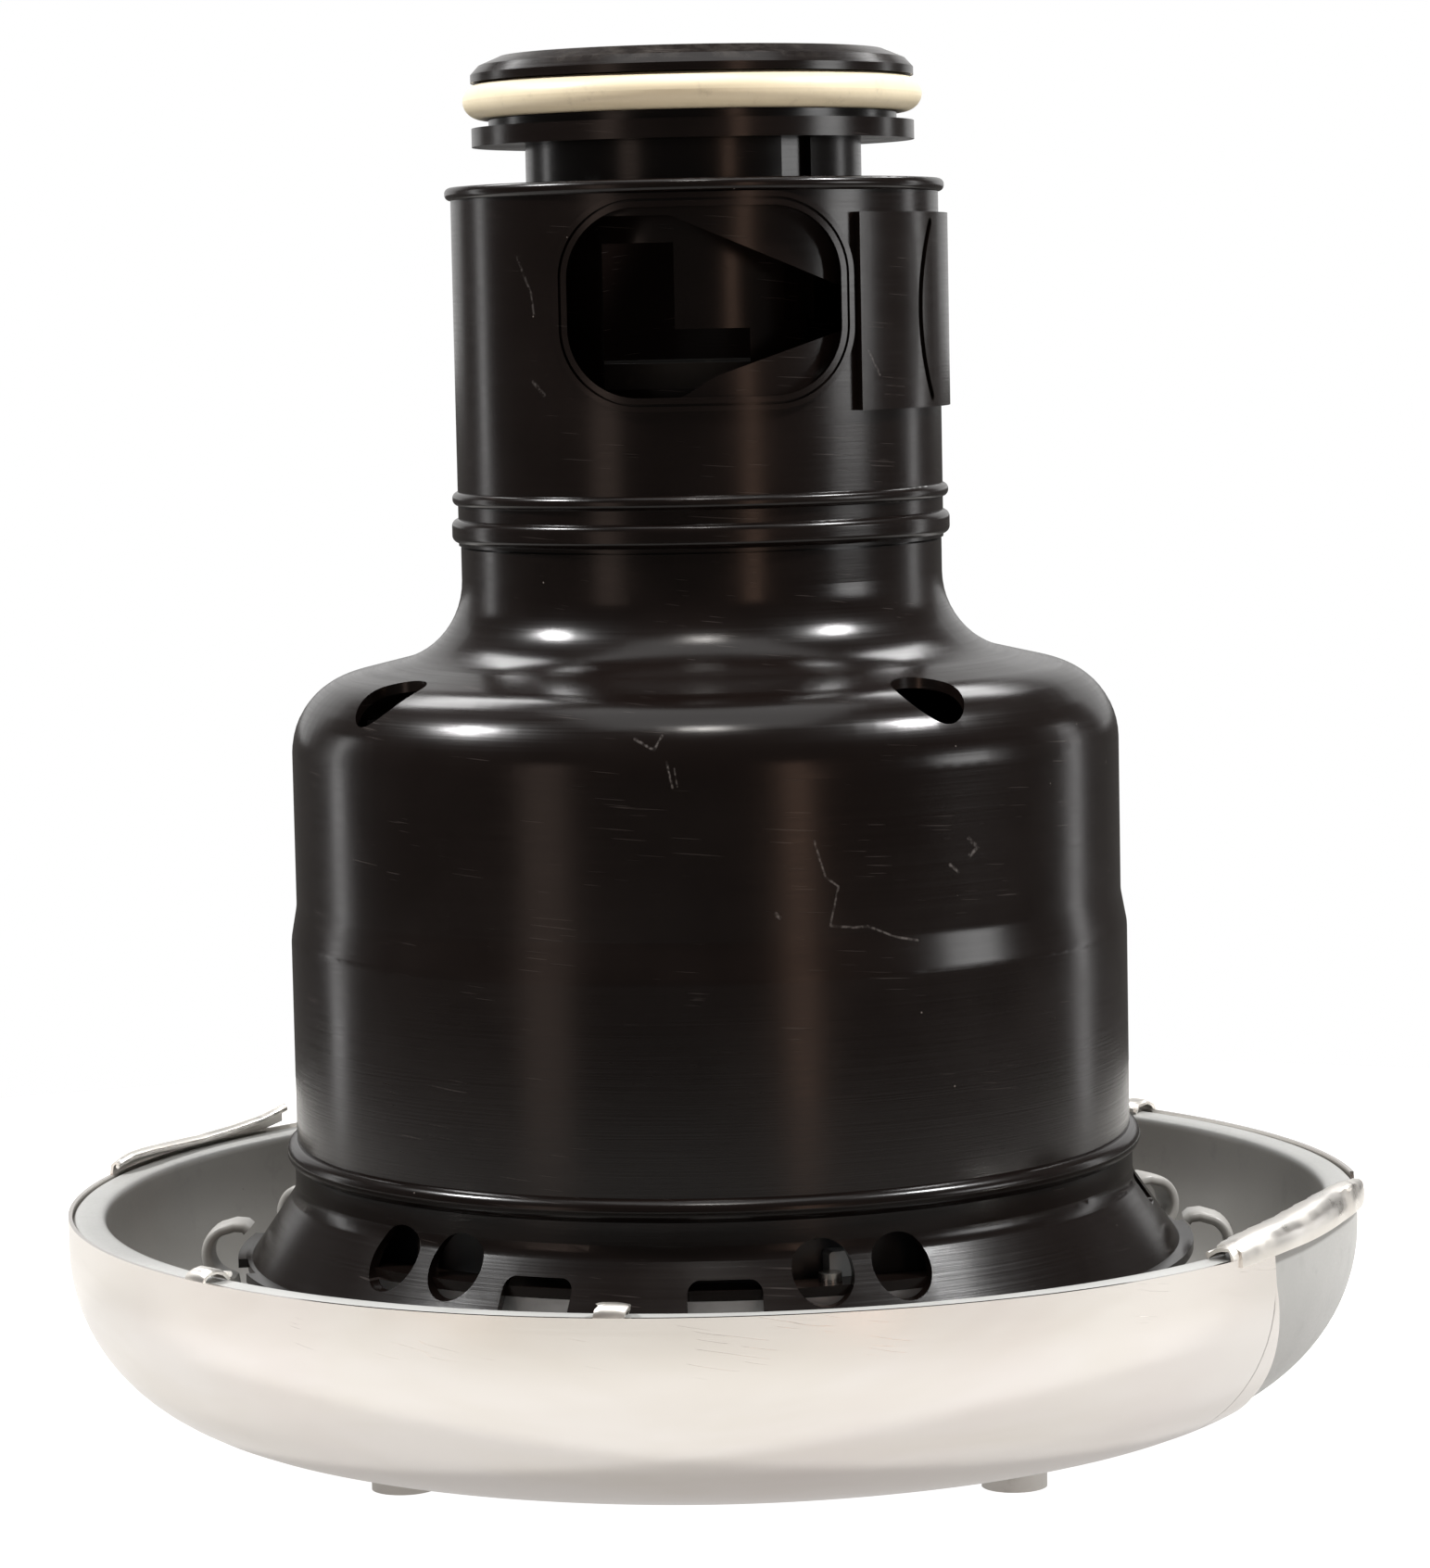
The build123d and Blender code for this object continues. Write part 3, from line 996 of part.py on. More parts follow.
# ---- rubber_feet: three plugs pushed through the dish ----
with BuildPart() as rubber_feet:
    for clock in FOOT_CLOCKS:
        with BuildSketch(Plane.XY):
            with PolarLocations(FOOT_RING_R, 1, start_angle=polar(clock)):
                Circle(6.5)
        extrude(amount=12)
    with Locations((0, 0, DOME_R)):
        Sphere(DOME_R, mode=Mode.SUBTRACT)
    for clock in FOOT_CLOCKS:
        with BuildSketch(Plane.XY.offset(2)):
            with PolarLocations(FOOT_RING_R, 1, start_angle=polar(clock)):
                Circle(FOOT_STEM_R)
        extrude(amount=14)
        with BuildSketch(Plane.XY.offset(14.4)):
            with PolarLocations(FOOT_RING_R, 1, start_angle=polar(clock)):
                Circle(FOOT_STEM_R + 1.2)
        extrude(amount=1.6)
rubber_feet.part.label = "rubber_feet"
export_step(rubber_feet.part, "parts/rubber_feet.step")
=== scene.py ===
import json
import math
import bmesh
import bpy
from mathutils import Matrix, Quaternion, Vector


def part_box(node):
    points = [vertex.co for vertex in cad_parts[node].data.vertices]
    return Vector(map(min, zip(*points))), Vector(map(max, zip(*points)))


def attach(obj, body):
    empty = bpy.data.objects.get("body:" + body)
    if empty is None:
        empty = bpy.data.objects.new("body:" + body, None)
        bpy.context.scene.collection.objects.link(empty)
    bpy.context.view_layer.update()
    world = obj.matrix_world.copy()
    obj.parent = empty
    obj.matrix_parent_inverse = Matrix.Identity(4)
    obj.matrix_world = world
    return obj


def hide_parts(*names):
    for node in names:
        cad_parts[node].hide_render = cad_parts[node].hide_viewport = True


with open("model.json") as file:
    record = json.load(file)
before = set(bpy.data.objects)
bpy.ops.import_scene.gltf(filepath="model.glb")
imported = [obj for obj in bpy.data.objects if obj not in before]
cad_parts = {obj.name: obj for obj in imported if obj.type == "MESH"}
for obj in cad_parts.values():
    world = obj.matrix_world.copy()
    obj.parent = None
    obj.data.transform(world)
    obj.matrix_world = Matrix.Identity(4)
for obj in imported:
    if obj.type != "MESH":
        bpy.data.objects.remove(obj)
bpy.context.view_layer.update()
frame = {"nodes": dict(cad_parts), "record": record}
nodes = frame["nodes"]
scene = bpy.context.scene
MM = 0.001

# Colours are linear. Z is up and the front faces -Y.

# ---------------------------------------------------------------- node helpers


class Finish:
    """A Principled material and short calls that add nodes to it."""

    def __init__(self, name, colour, roughness, metallic=0.0, **fixed):
        self.material = bpy.data.materials.new(name)
        self.material.use_nodes = True
        self.tree = self.material.node_tree
        self.shader = self.tree.nodes["Principled BSDF"]
        self.shader.inputs["Base Color"].default_value = (*colour, 1)
        self.shader.inputs["Roughness"].default_value = roughness
        self.shader.inputs["Metallic"].default_value = metallic
        for socket, value in fixed.items():
            self.shader.inputs[socket.replace("_", " ")].default_value = value
        self.colour = (*colour, 1)
        self.tone = None
        self.height = None
        self.position = self.add("TexCoord").outputs["Object"]

    def add(self, kind, **settings):
        """A new shader node with its settings."""
        node = self.tree.nodes.new("ShaderNode" + kind)
        for key, value in settings.items():
            setattr(node, key, value)
        return node

    def put(self, socket, value):
        """Links a socket's source, or sets a plain value."""
        if isinstance(value, bpy.types.NodeSocket):
            self.tree.links.new(value, socket)
        else:
            socket.default_value = value

    def math(self, operation, *values, clamp=False):
        node = self.add("Math", operation=operation, use_clamp=clamp)
        for socket, value in zip(node.inputs, values):
            self.put(socket, value)
        return node.outputs[0]

    def vector(self, operation, *values):
        node = self.add("VectorMath", operation=operation)
        for socket, value in zip(node.inputs, values):
            self.put(socket, value)
        return node.outputs[1] if operation in ("DOT_PRODUCT", "LENGTH") else node.outputs[0]

    def axes(self):
        """The three coordinates of the surface position."""
        parts = self.add("SeparateXYZ")
        self.put(parts.inputs[0], self.position)
        return parts.outputs

    def noise(self, vector, scale=1.0, detail=3.0, rough=0.55, distortion=0.0):
        node = self.add("TexNoise")
        self.put(node.inputs["Vector"], vector)
        node.inputs["Scale"].default_value = scale
        node.inputs["Detail"].default_value = detail
        node.inputs["Roughness"].default_value = rough
        node.inputs["Distortion"].default_value = distortion
        return node.outputs[0]

    def remap(self, value, low, high, to_low, to_high, smooth=False):
        node = self.add("MapRange", interpolation_type="SMOOTHSTEP" if smooth else "LINEAR")
        for socket, v in zip(node.inputs, (value, low, high, to_low, to_high)):
            self.put(socket, v)
        return node.outputs[0]

    def mix(self, factor, a, b):
        """Colour between a and b. The Mix node keeps its colour sockets at 6, 7 and 2."""
        node = self.add("Mix", data_type="RGBA")
        self.put(node.inputs[0], factor)
        self.put(node.inputs[6], a)
        self.put(node.inputs[7], b)
        return node.outputs[2]

    def paint(self, factor, colour):
        """Lays a colour over what is there already, by a factor."""
        self.tone = self.mix(factor, self.tone or self.colour, (*colour, 1))
        self.put(self.shader.inputs["Base Color"], self.tone)

    def raise_by(self, height, amount):
        """Adds a height field, in metres at full strength."""
        part = self.math("MULTIPLY", height, amount)
        self.height = part if self.height is None else self.math("ADD", self.height, part)

    def roughness(self, factor, low, high):
        """Roughness between two values, by a noise that lies mostly within its middle."""
        self.put(self.shader.inputs["Roughness"], self.remap(factor, 0.3, 0.7, low, high))

    def done(self):
        """Joins the gathered height to the shader and gives the material."""
        if self.height is not None:
            bump = self.add("Bump")
            bump.inputs["Strength"].default_value = 1.0
            bump.inputs["Distance"].default_value = 1.0
            self.put(bump.inputs["Height"], self.height)
            self.put(self.shader.inputs["Normal"], bump.outputs[0])
        return self.material


def unrolled(f, radius):
    """Surface position on a cylinder: arc length from the front towards +X, and height."""
    x, y, z = f.axes()
    back = f.math("MULTIPLY", y, -1.0)
    angle = f.math("ARCTAN2", x, back)
    join = f.add("CombineXYZ")
    f.put(join.inputs[0], f.math("MULTIPLY", angle, radius))
    f.put(join.inputs[1], z)
    return join.outputs[0]


def scratch(f, flat, points, width):
    """Mask of a broken line through points (arc length and height in mm)."""
    mask = None
    for (u0, z0), (u1, z1) in zip(points, points[1:]):
        along = Vector(((u1 - u0) * MM, (z1 - z0) * MM, 0))
        start = (u0 * MM, z0 * MM, 0)
        rel = f.vector("SUBTRACT", flat, start)
        share = f.math("DIVIDE", f.vector("DOT_PRODUCT", rel, tuple(along)),
                       along.length_squared, clamp=True)
        scale = f.add("VectorMath", operation="SCALE")
        scale.inputs[0].default_value = along
        f.put(scale.inputs["Scale"], share)
        gap = f.vector("LENGTH", f.vector("SUBTRACT", rel, scale.outputs[0]))
        line = f.remap(gap, 0.0, width * MM, 1.0, 0.0)
        mask = line if mask is None else f.math("MAXIMUM", mask, line)
    return mask


def specks(f, spacing, size, share):
    """Mask of small dots: one in each cell, kept in a share of the cells."""
    cells = f.add("TexVoronoi")
    f.put(cells.inputs["Vector"], f.position)
    cells.inputs["Scale"].default_value = 1 / spacing
    dot = f.remap(cells.outputs["Distance"], 0.0, size / spacing, 1.0, 0.0)
    pick = f.add("SeparateColor")
    f.put(pick.inputs[0], cells.outputs["Color"])
    kept = f.math("LESS_THAN", pick.outputs[0], share)
    return f.math("MULTIPLY", dot, kept)


def hairlines(f, flat, count, angle, share):
    """Mask of short straight hairline scratches in one direction."""
    turn = f.add("VectorRotate", rotation_type="Z_AXIS")
    f.put(turn.inputs["Vector"], flat)
    turn.inputs["Angle"].default_value = math.radians(angle)
    thin = f.vector("MULTIPLY", turn.outputs[0], (60.0, count, 1.0))
    lines = f.noise(thin, 1.0, 1.0, 0.3)
    ridge = f.remap(lines, share, share + 0.012, 0.0, 1.0)
    patch = f.noise(f.position, 70.0, 2.0)
    return f.math("MULTIPLY", ridge, f.remap(patch, 0.5, 0.62, 0.0, 1.0))


# ---------------------------------------------------------------- finishes

DUST = (0.33, 0.29, 0.26)
SCRATCHED = (0.22, 0.20, 0.19)
STAINLESS_ROUGHNESS = (0.14, 0.26)
WIRES_PER_METRE = 4400.0
WORN_HEIGHT = (0.2795, 0.2815)  # the top flange of the spigot wears grey above these heights


def black_can(name, radius, marks=(), worn=0.0):
    """Black moulding turned to a faint horizontal grain."""
    f = Finish(name, (0.0048, 0.0030, 0.0025), 0.2, IOR=1.33, Anisotropic=0.25)
    tangent = f.add("Tangent", direction_type="RADIAL", axis="Z")
    f.put(f.shader.inputs["Tangent"], tangent.outputs[0])
    flat = unrolled(f, radius)
    streak = f.noise(f.vector("MULTIPLY", flat, (14.0, 2600.0, 1.0)), 1.0, 4.0, 0.7)
    cloud = f.noise(f.position, 34.0, 4.0)
    f.roughness(f.math("ADD", f.math("MULTIPLY", streak, 0.6), f.math("MULTIPLY", cloud, 0.4)),
                0.15, 0.27)
    f.paint(f.remap(cloud, 0.42, 0.7, 0.0, 0.55), (0.0085, 0.0058, 0.005))
    f.raise_by(streak, 9e-6)
    f.raise_by(f.noise(f.position, 60.0, 2.0), 3.0e-5)
    dust = specks(f, 0.0065, 0.00022, 0.30)
    f.paint(f.math("MULTIPLY", dust, 0.8), DUST)
    hair = hairlines(f, flat, 2400.0, 4.0, 0.7)
    f.paint(f.math("MULTIPLY", hair, 0.22), (0.10, 0.085, 0.08))
    for points, width, strength in marks:
        line = scratch(f, flat, points, width)
        broken = f.remap(f.noise(f.position, 1300.0, 3.0), 0.42, 0.6, 0.08, 1.0)
        f.paint(f.math("MULTIPLY", f.math("MULTIPLY", line, broken), strength), SCRATCHED)
    if worn:
        high = f.remap(f.axes()[2], *WORN_HEIGHT, 0.0, worn, True)
        patches = f.remap(f.noise(f.position, 180.0, 5.0, 0.7), 0.45, 0.75, 0.0, 1.0)
        f.paint(f.math("MULTIPLY", patches, high), (0.075, 0.066, 0.058))
    return f.done()


def grey_bowl(name, colour=(0.36, 0.35, 0.33)):
    """Satin grey moulding, a little dusty, with a rub here and there."""
    f = Finish(name, colour, 0.42, IOR=1.46)
    cloud = f.noise(f.position, 26.0, 4.0)
    f.paint(f.remap(cloud, 0.35, 0.72, 0.0, 0.5), tuple(c * 0.8 for c in colour))
    fine = f.noise(f.position, 1700.0, 3.0)
    both = f.math("ADD", f.math("MULTIPLY", cloud, 0.5), f.math("MULTIPLY", fine, 0.5))
    f.roughness(both, 0.3, 0.5)
    f.raise_by(fine, 7e-6)
    f.raise_by(f.noise(f.position, 45.0, 2.0), 4e-5)
    stain = f.remap(f.noise(f.position, 95.0, 5.0, 0.7), 0.56, 0.72, 0.0, 0.35)
    f.paint(stain, tuple(c * 0.6 for c in colour))
    f.paint(f.math("MULTIPLY", specks(f, 0.008, 0.0003, 0.25), 0.6), (0.12, 0.11, 0.10))
    return f.done()


def stainless(name, radius):
    """Bright stainless, polished round the axis, with faint smears and painted reflection: warm
    and pinkish patches in its colour.
    """
    f = Finish(name, (0.73, 0.70, 0.67), 0.2, 1.0, Anisotropic=0.35)
    tangent = f.add("Tangent", direction_type="RADIAL", axis="Z")
    f.put(f.shader.inputs["Tangent"], tangent.outputs[0])
    flat = unrolled(f, radius)
    brush = f.noise(f.vector("MULTIPLY", flat, (10.0, 3400.0, 1.0)), 1.0, 4.0, 0.75)
    smear_and_painted_reflection = f.noise(f.vector("MULTIPLY", flat, (9.0, 34.0, 1.0)), 1.0, 4.0, 0.6, 0.6)
    both = f.math("ADD", f.math("MULTIPLY", brush, 0.35), f.math("MULTIPLY", smear_and_painted_reflection, 0.65))
    f.roughness(both, *STAINLESS_ROUGHNESS)
    # warm tint along the smears and pinkish clouds: partly smears, partly painted reflection of a
    # warm room
    f.paint(f.remap(smear_and_painted_reflection, 0.42, 0.66, 0.0, 0.6), (0.65, 0.605, 0.54))
    f.paint(f.remap(f.noise(f.position, 16.0, 3.0), 0.5, 0.68, 0.0, 0.4), (0.69, 0.635, 0.615))
    f.raise_by(brush, 2.5e-6)
    f.raise_by(f.noise(f.position, 22.0, 1.0), 5e-5)
    f.paint(f.math("MULTIPLY", specks(f, 0.009, 0.00018, 0.2), 0.7), (0.30, 0.27, 0.24))
    hair = hairlines(f, flat, 1800.0, 9.0, 0.665)
    f.raise_by(hair, -6e-6)
    return f.done()


def metal(name, colour, rough, grain=1200.0, height=8e-6, stained=None):
    """Plain metal with a fine grain and duller clouds."""
    f = Finish(name, colour, rough, 1.0)
    cloud = f.noise(f.position, 90.0, 4.0)
    f.paint(f.remap(cloud, 0.38, 0.7, 0.0, 0.6), stained or tuple(c * 0.72 for c in colour))
    f.roughness(cloud, rough * 0.75, min(rough * 1.5, 0.9))
    f.raise_by(f.noise(f.position, grain, 3.0, 0.65), height)
    return f.done()


def rubber(name, colour, rough=0.55, grime=(0.3, 0.26, 0.2), grime_share=0.3):
    """Matte rubber, uneven in tone, with grime in patches."""
    f = Finish(name, colour, rough, IOR=1.5)
    cloud = f.noise(f.position, 60.0, 4.0)
    f.paint(f.remap(cloud, 0.35, 0.7, 0.0, 0.55), tuple(c * 0.86 for c in colour))
    f.paint(f.remap(f.noise(f.position, 240.0, 5.0, 0.7), 0.58, 0.74, 0.0, grime_share), grime)
    f.roughness(cloud, rough * 0.8, min(rough * 1.25, 0.95))
    f.raise_by(f.noise(f.position, 900.0, 3.0), 1.2e-5)
    return f.done()


def moulding(name, colour, rough, texture=1400.0, bump=8e-6):
    """Moulded plastic or paint with a fine texture and some dust."""
    f = Finish(name, colour, rough, IOR=1.47)
    cloud = f.noise(f.position, 75.0, 3.0)
    f.paint(f.remap(cloud, 0.35, 0.7, 0.0, 0.6), tuple(min(c * 1.5 + 0.002, 1) for c in colour))
    f.roughness(cloud, rough * 0.75, min(rough * 1.35, 0.9))
    f.raise_by(f.noise(f.position, texture, 3.0, 0.6), bump)
    f.paint(f.math("MULTIPLY", specks(f, 0.007, 0.00022, 0.22), 0.5), (0.28, 0.25, 0.23))
    return f.done()


def laminated(name):
    """A stack of half-millimetre electrical steel sheets."""
    f = Finish(name, (0.33, 0.325, 0.32), 0.42, 1.0)
    wave = f.add("TexWave", wave_type="BANDS", bands_direction="Z")
    f.put(wave.inputs["Vector"], f.position)
    wave.inputs["Scale"].default_value = 314.0
    wave.inputs["Distortion"].default_value = 0.4
    f.paint(f.remap(wave.outputs[1], 0.0, 0.5, 0.75, 0.0), (0.11, 0.085, 0.07))
    f.raise_by(wave.outputs[1], 6e-5)
    rust = f.remap(f.noise(f.position, 130.0, 5.0, 0.7), 0.55, 0.72, 0.0, 0.6)
    f.paint(rust, (0.20, 0.09, 0.045))
    return f.done()


def wound(name):
    """Varnished winding wire laid round the axis."""
    f = Finish(name, (0.50, 0.17, 0.06), 0.32, 0.7, Coat_Weight=0.5, Coat_Roughness=0.25)
    radius = f.vector("LENGTH", f.vector("MULTIPLY", f.position, (1.0, 1.0, 0.0)))
    across = f.math("ADD", f.math("MULTIPLY", radius, WIRES_PER_METRE),
                    f.math("MULTIPLY", f.axes()[2], WIRES_PER_METRE))
    turn = f.math("ADD", across, f.math("MULTIPLY", f.noise(f.position, 110.0, 2.0), 9.0))
    strands = f.math("ABSOLUTE", f.math("SINE", turn))
    f.raise_by(strands, 2.2e-4)
    # darker in the grooves between the turns of wire: painted shade
    f.paint(f.remap(strands, 0.0, 0.45, 0.85, 0.0), (0.085, 0.025, 0.012))
    return f.done()


# Scratches: points (arc length from the front, height) in mm, then width in mm and strength.
BODY_MARKS = (
    (((21.0, 133.4), (22.5, 128.5), (23.2, 126.4), (25.8, 124.5), (24.6, 119.7), (24.0, 117.2),
      (29.0, 116.6), (31.8, 116.7), (37.5, 114.3), (42.5, 113.3)), 0.3, 0.5),
    (((-7.5, 148.8), (-6.4, 144.0)), 0.3, 0.6),
    (((-6.0, 147.6), (-5.5, 144.2)), 0.22, 0.45),
    (((13.2, 119.9), (13.9, 119.2)), 0.5, 0.8),
    (((55.2, 131.6), (57.5, 129.8), (55.4, 128.4)), 0.5, 0.5),
    (((50.5, 127.0), (52.5, 125.6)), 0.45, 0.45),
    (((-14.0, 153.0), (-10.0, 151.0), (-8.5, 153.5)), 0.35, 0.45),
)
COLLAR_MARKS = (
    (((-36.5, 243.0), (-33.0, 236.0), (-32.5, 232.0)), 0.35, 0.22),
    (((-33.0, 219.0), (-30.5, 216.5)), 0.5, 0.25),
    (((33.0, 224.0), (36.0, 219.0)), 0.3, 0.3),
)

# Radii that unroll the marks and grain of the neck, can and dish.
neck_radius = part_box("lock_sleeve")[1].x
can_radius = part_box("main_shell")[1].x
dish_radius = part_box("stainless_skin")[1].x

looks = {
    "black_body": black_can("black_body", can_radius, BODY_MARKS),
    "black_skirt": black_can("black_skirt", can_radius),
    "black_collar": black_can("black_collar", neck_radius, COLLAR_MARKS),
    "black_spigot": black_can("black_spigot", neck_radius, (), 0.5),
    "black_moulding": moulding("black_moulding", (0.012, 0.010, 0.009), 0.4),
    "grey_bowl": grey_bowl("grey_bowl"),
    # a paler copy of the bowl's grey, painted light for the rim and the outside of the bowl
    "lit_bowl": grey_bowl("lit_bowl", (0.37, 0.37, 0.358)),
    "grey_moulding": moulding("grey_moulding", (0.34, 0.35, 0.35), 0.4),
    "stainless": stainless("stainless", dish_radius),
    "stainless_fold": metal("stainless_fold", (0.84, 0.81, 0.765), 0.34, 900.0, 6e-6,
                            (0.76, 0.72, 0.66)),
    "stainless_cut": metal("stainless_cut", (0.66, 0.63, 0.59), 0.25),
    "cream_rubber": rubber("cream_rubber", (0.80, 0.70, 0.50), 0.42, (0.33, 0.27, 0.18), 0.28),
    "black_rubber": rubber("black_rubber", (0.020, 0.019, 0.018), 0.6, (0.07, 0.06, 0.05), 0.3),
    "grey_rubber": rubber("grey_rubber", (0.62, 0.61, 0.58), 0.55, (0.25, 0.23, 0.2), 0.35),
    "red_moulding": moulding("red_moulding", (0.52, 0.022, 0.015), 0.3),
    "cast_aluminium": metal("cast_aluminium", (0.50, 0.50, 0.51), 0.48, 700.0, 5e-5),
    "painted_steel": moulding("painted_steel", (0.03, 0.03, 0.032), 0.35, 900.0, 1.5e-5),
    "lamination_steel": laminated("lamination_steel"),
    "enamelled_copper": wound("enamelled_copper"),
    "bronze": metal("bronze", (0.50, 0.31, 0.12), 0.38),
    "zinc_steel": metal("zinc_steel", (0.60, 0.60, 0.58), 0.3, 1500.0, 6e-6, (0.42, 0.40, 0.35)),
}

# Nodes whose look differs from the others in their material slot.
special = {
    "main_shell": "black_body",
    "base_skirt": "black_skirt",
    "twist_collar": "black_collar",
    "lock_sleeve": "black_collar",
    "throat_spigot": "black_spigot",
    "inner_bowl": "grey_bowl",
    "turntable": "stainless_cut",
    "grind_ring": "stainless_cut",
    "swivel_lug_a": "stainless_cut",
    "swivel_lug_b": "stainless_cut",
    "stainless_skin": "stainless",
}
slot_of = {part["node"]: part["material_slot"] for part in frame["record"]["subparts"]}
for name, obj in nodes.items():
    obj.data.materials.clear()
    obj.data.materials.append(looks[special.get(name, slot_of[name])])

# ---------------------------------------------------------------- dish shapes, in millimetres

DISH_R = round(dish_radius / MM, 1)
RIM_Z = 53.8
MOUTH_R = 123.4
DOME_R = 417.0
KNUCKLE_R = 34.6
KNUCKLE_X = DISH_R - KNUCKLE_R
KNUCKLE_Z = DOME_R - math.sqrt((DOME_R - KNUCKLE_R) ** 2 - KNUCKLE_X**2)
SKIN_T = 0.8
SERVICE_R = 24.0
SECTION_STEPS = 44


def at(r, clock, z):
    """Point in metres. Clock 0 is the front, and 90 is towards +X."""
    a = math.radians(clock)
    return Vector((r * math.sin(a), -r * math.cos(a), z)) * MM


def steps(low, high, count):
    """Evenly spaced values from low to high, both included."""
    return [low + (high - low) * i / count for i in range(count + 1)]


def table_value(table, x):
    """Straight-line reading of a table of (x, value)."""
    if x <= table[0][0]:
        return table[0][1]
    for (x0, v0), (x1, v1) in zip(table, table[1:]):
        if x <= x1:
            return v0 + (v1 - v0) * (x - x0) / (x1 - x0)
    return table[-1][1]


def dish_profile(inset, top):
    """Points (r, z) from the service hole to a height, dome then knuckle then wall."""
    dome, knuckle = DOME_R - inset, KNUCKLE_R - inset
    lean = math.asin(KNUCKLE_X / (DOME_R - KNUCKLE_R))
    first = math.asin(SERVICE_R / dome)
    line = [(dome * math.sin(a), DOME_R - dome * math.cos(a)) for a in steps(first, lean, 16)]
    turn = [(KNUCKLE_X + knuckle * math.sin(a), KNUCKLE_Z - knuckle * math.cos(a))
            for a in steps(lean, math.pi / 2, 36)[1:]]
    line += turn + [(DISH_R - inset, z) for z in steps(KNUCKLE_Z, RIM_Z, 4)[1:]]
    kept = [point for point in line if point[1] < top - 0.02]
    (r0, z0), (r1, z1) = line[len(kept) - 1], line[min(len(kept), len(line) - 1)]
    share = min(max((top - z0) / (z1 - z0), 0), 1) if z1 > z0 else 0
    kept.append((r0 + (r1 - r0) * share, top))
    return kept


def resample(line, count):
    """The same line in a fixed number of steps, evenly along its length."""
    lengths = [0.0]
    for (r0, z0), (r1, z1) in zip(line, line[1:]):
        lengths.append(lengths[-1] + math.hypot(r1 - r0, z1 - z0))
    rs = [(length, point[0]) for length, point in zip(lengths, line)]
    zs = [(length, point[1]) for length, point in zip(lengths, line)]
    return [(table_value(rs, d), table_value(zs, d)) for d in steps(0, lengths[-1], count)]


NEVER_ALONG = (0.13, 0.2, 1)  # a direction that no bar here runs in


class Shape:
    """Gathers closed pieces of surface into one mesh."""

    def __init__(self):
        self.points = []
        self.faces = []

    def grid(self, rows, loop_rows=False, loop_columns=False):
        """Quads over rows of points. A looped direction joins its end to its start."""
        base = len(self.points)
        height, width = len(rows), len(rows[0])
        for row in rows:
            self.points += [tuple(p) for p in row]
        for i in range(height if loop_rows else height - 1):
            for j in range(width if loop_columns else width - 1):
                k, m = (i + 1) % height, (j + 1) % width
                self.faces.append((base + i * width + j, base + i * width + m,
                                   base + k * width + m, base + k * width + j))
        return base

    def capped(self, rows):
        """Closed rings one after another, with both ends filled."""
        base = self.grid(rows, loop_columns=True)
        width = len(rows[0])
        last = base + (len(rows) - 1) * width
        self.faces.append(tuple(range(base, base + width)))
        self.faces.append(tuple(range(last, last + width)))

    def sheet(self, rows, thickness):
        """A sheet of even thickness under the given surface. Each row becomes a closed ring."""
        rings = []
        for i, row in enumerate(rows):
            under = []
            for j, p in enumerate(row):
                across = row[min(j + 1, len(row) - 1)] - row[max(j - 1, 0)]
                along = rows[min(i + 1, len(rows) - 1)][j] - rows[max(i - 1, 0)][j]
                under.append(p - across.cross(along).normalized() * thickness * MM)
            rings.append(list(row) + under[::-1])
        self.capped(rings)

    def tube(self, line, radius, sides=10):
        """A round bar along a line of points."""
        rings = []
        for i, p in enumerate(line):
            d = (line[min(i + 1, len(line) - 1)] - line[max(i - 1, 0)]).normalized()
            a = d.cross(Vector(NEVER_ALONG)).normalized()
            b = d.cross(a)
            rings.append([p + (a * math.cos(t) + b * math.sin(t)) * radius * MM
                          for t in steps(0, 2 * math.pi, sides)[:-1]])
        self.capped(rings)

    def build(self, name, look, sharp):
        """The object, with its edges sharp above an angle in degrees."""
        mesh = bpy.data.meshes.new(name)
        mesh.from_pydata(self.points, [], self.faces)
        shaper = bmesh.new()
        shaper.from_mesh(mesh)
        bmesh.ops.remove_doubles(shaper, verts=shaper.verts, dist=1e-6)
        bmesh.ops.recalc_face_normals(shaper, faces=shaper.faces)
        shaper.to_mesh(mesh)
        shaper.free()
        mesh.shade_smooth()
        mesh.set_sharp_from_angle(angle=math.radians(sharp))
        mesh.materials.append(looks[look])
        obj = bpy.data.objects.new(name, mesh)
        scene.collection.objects.link(obj)
        return obj


# ---------------------------------------------------------------- formed_skin

# Top of the skin at clocks over the cut-away side.
CUT_TOP = ((53.8, 53.8), (54.0, 47), (55, 40), (56, 34), (57.2, 28), (58.6, 22), (61, 17),
           (66, 12.5), (72, 10.5), (80, 10.5), (85, 12), (88, 16), (89.5, 24), (90.5, 34),
           (91.0, 44), (91.3, 53.8))
TAB_CLOCKS = (-8.3, -48.0, 49.0, 133.0)
TAB_HALF_ARC = 1.25
RIM_WAVE = 0.12

skin = Shape()
clocks = steps(-180, 50, 230) + steps(50, 95, 180)[1:] + steps(95, 180, 85)[1:-1]
rings = []
for clock in clocks:
    top = table_value(CUT_TOP, clock) if CUT_TOP[0][0] < clock < CUT_TOP[-1][0] else RIM_Z
    top += RIM_WAVE * (math.sin(math.radians(clock * 5 + 40)) - 1)
    outer, inner = (
        [at(r, clock, z) for r, z in resample(dish_profile(inset, top), SECTION_STEPS)]
        for inset in (0, SKIN_T))
    rings.append(outer + inner[::-1])
skin.grid(rings, loop_rows=True, loop_columns=True)

# ---------------------------------------------------------------- folded_edges

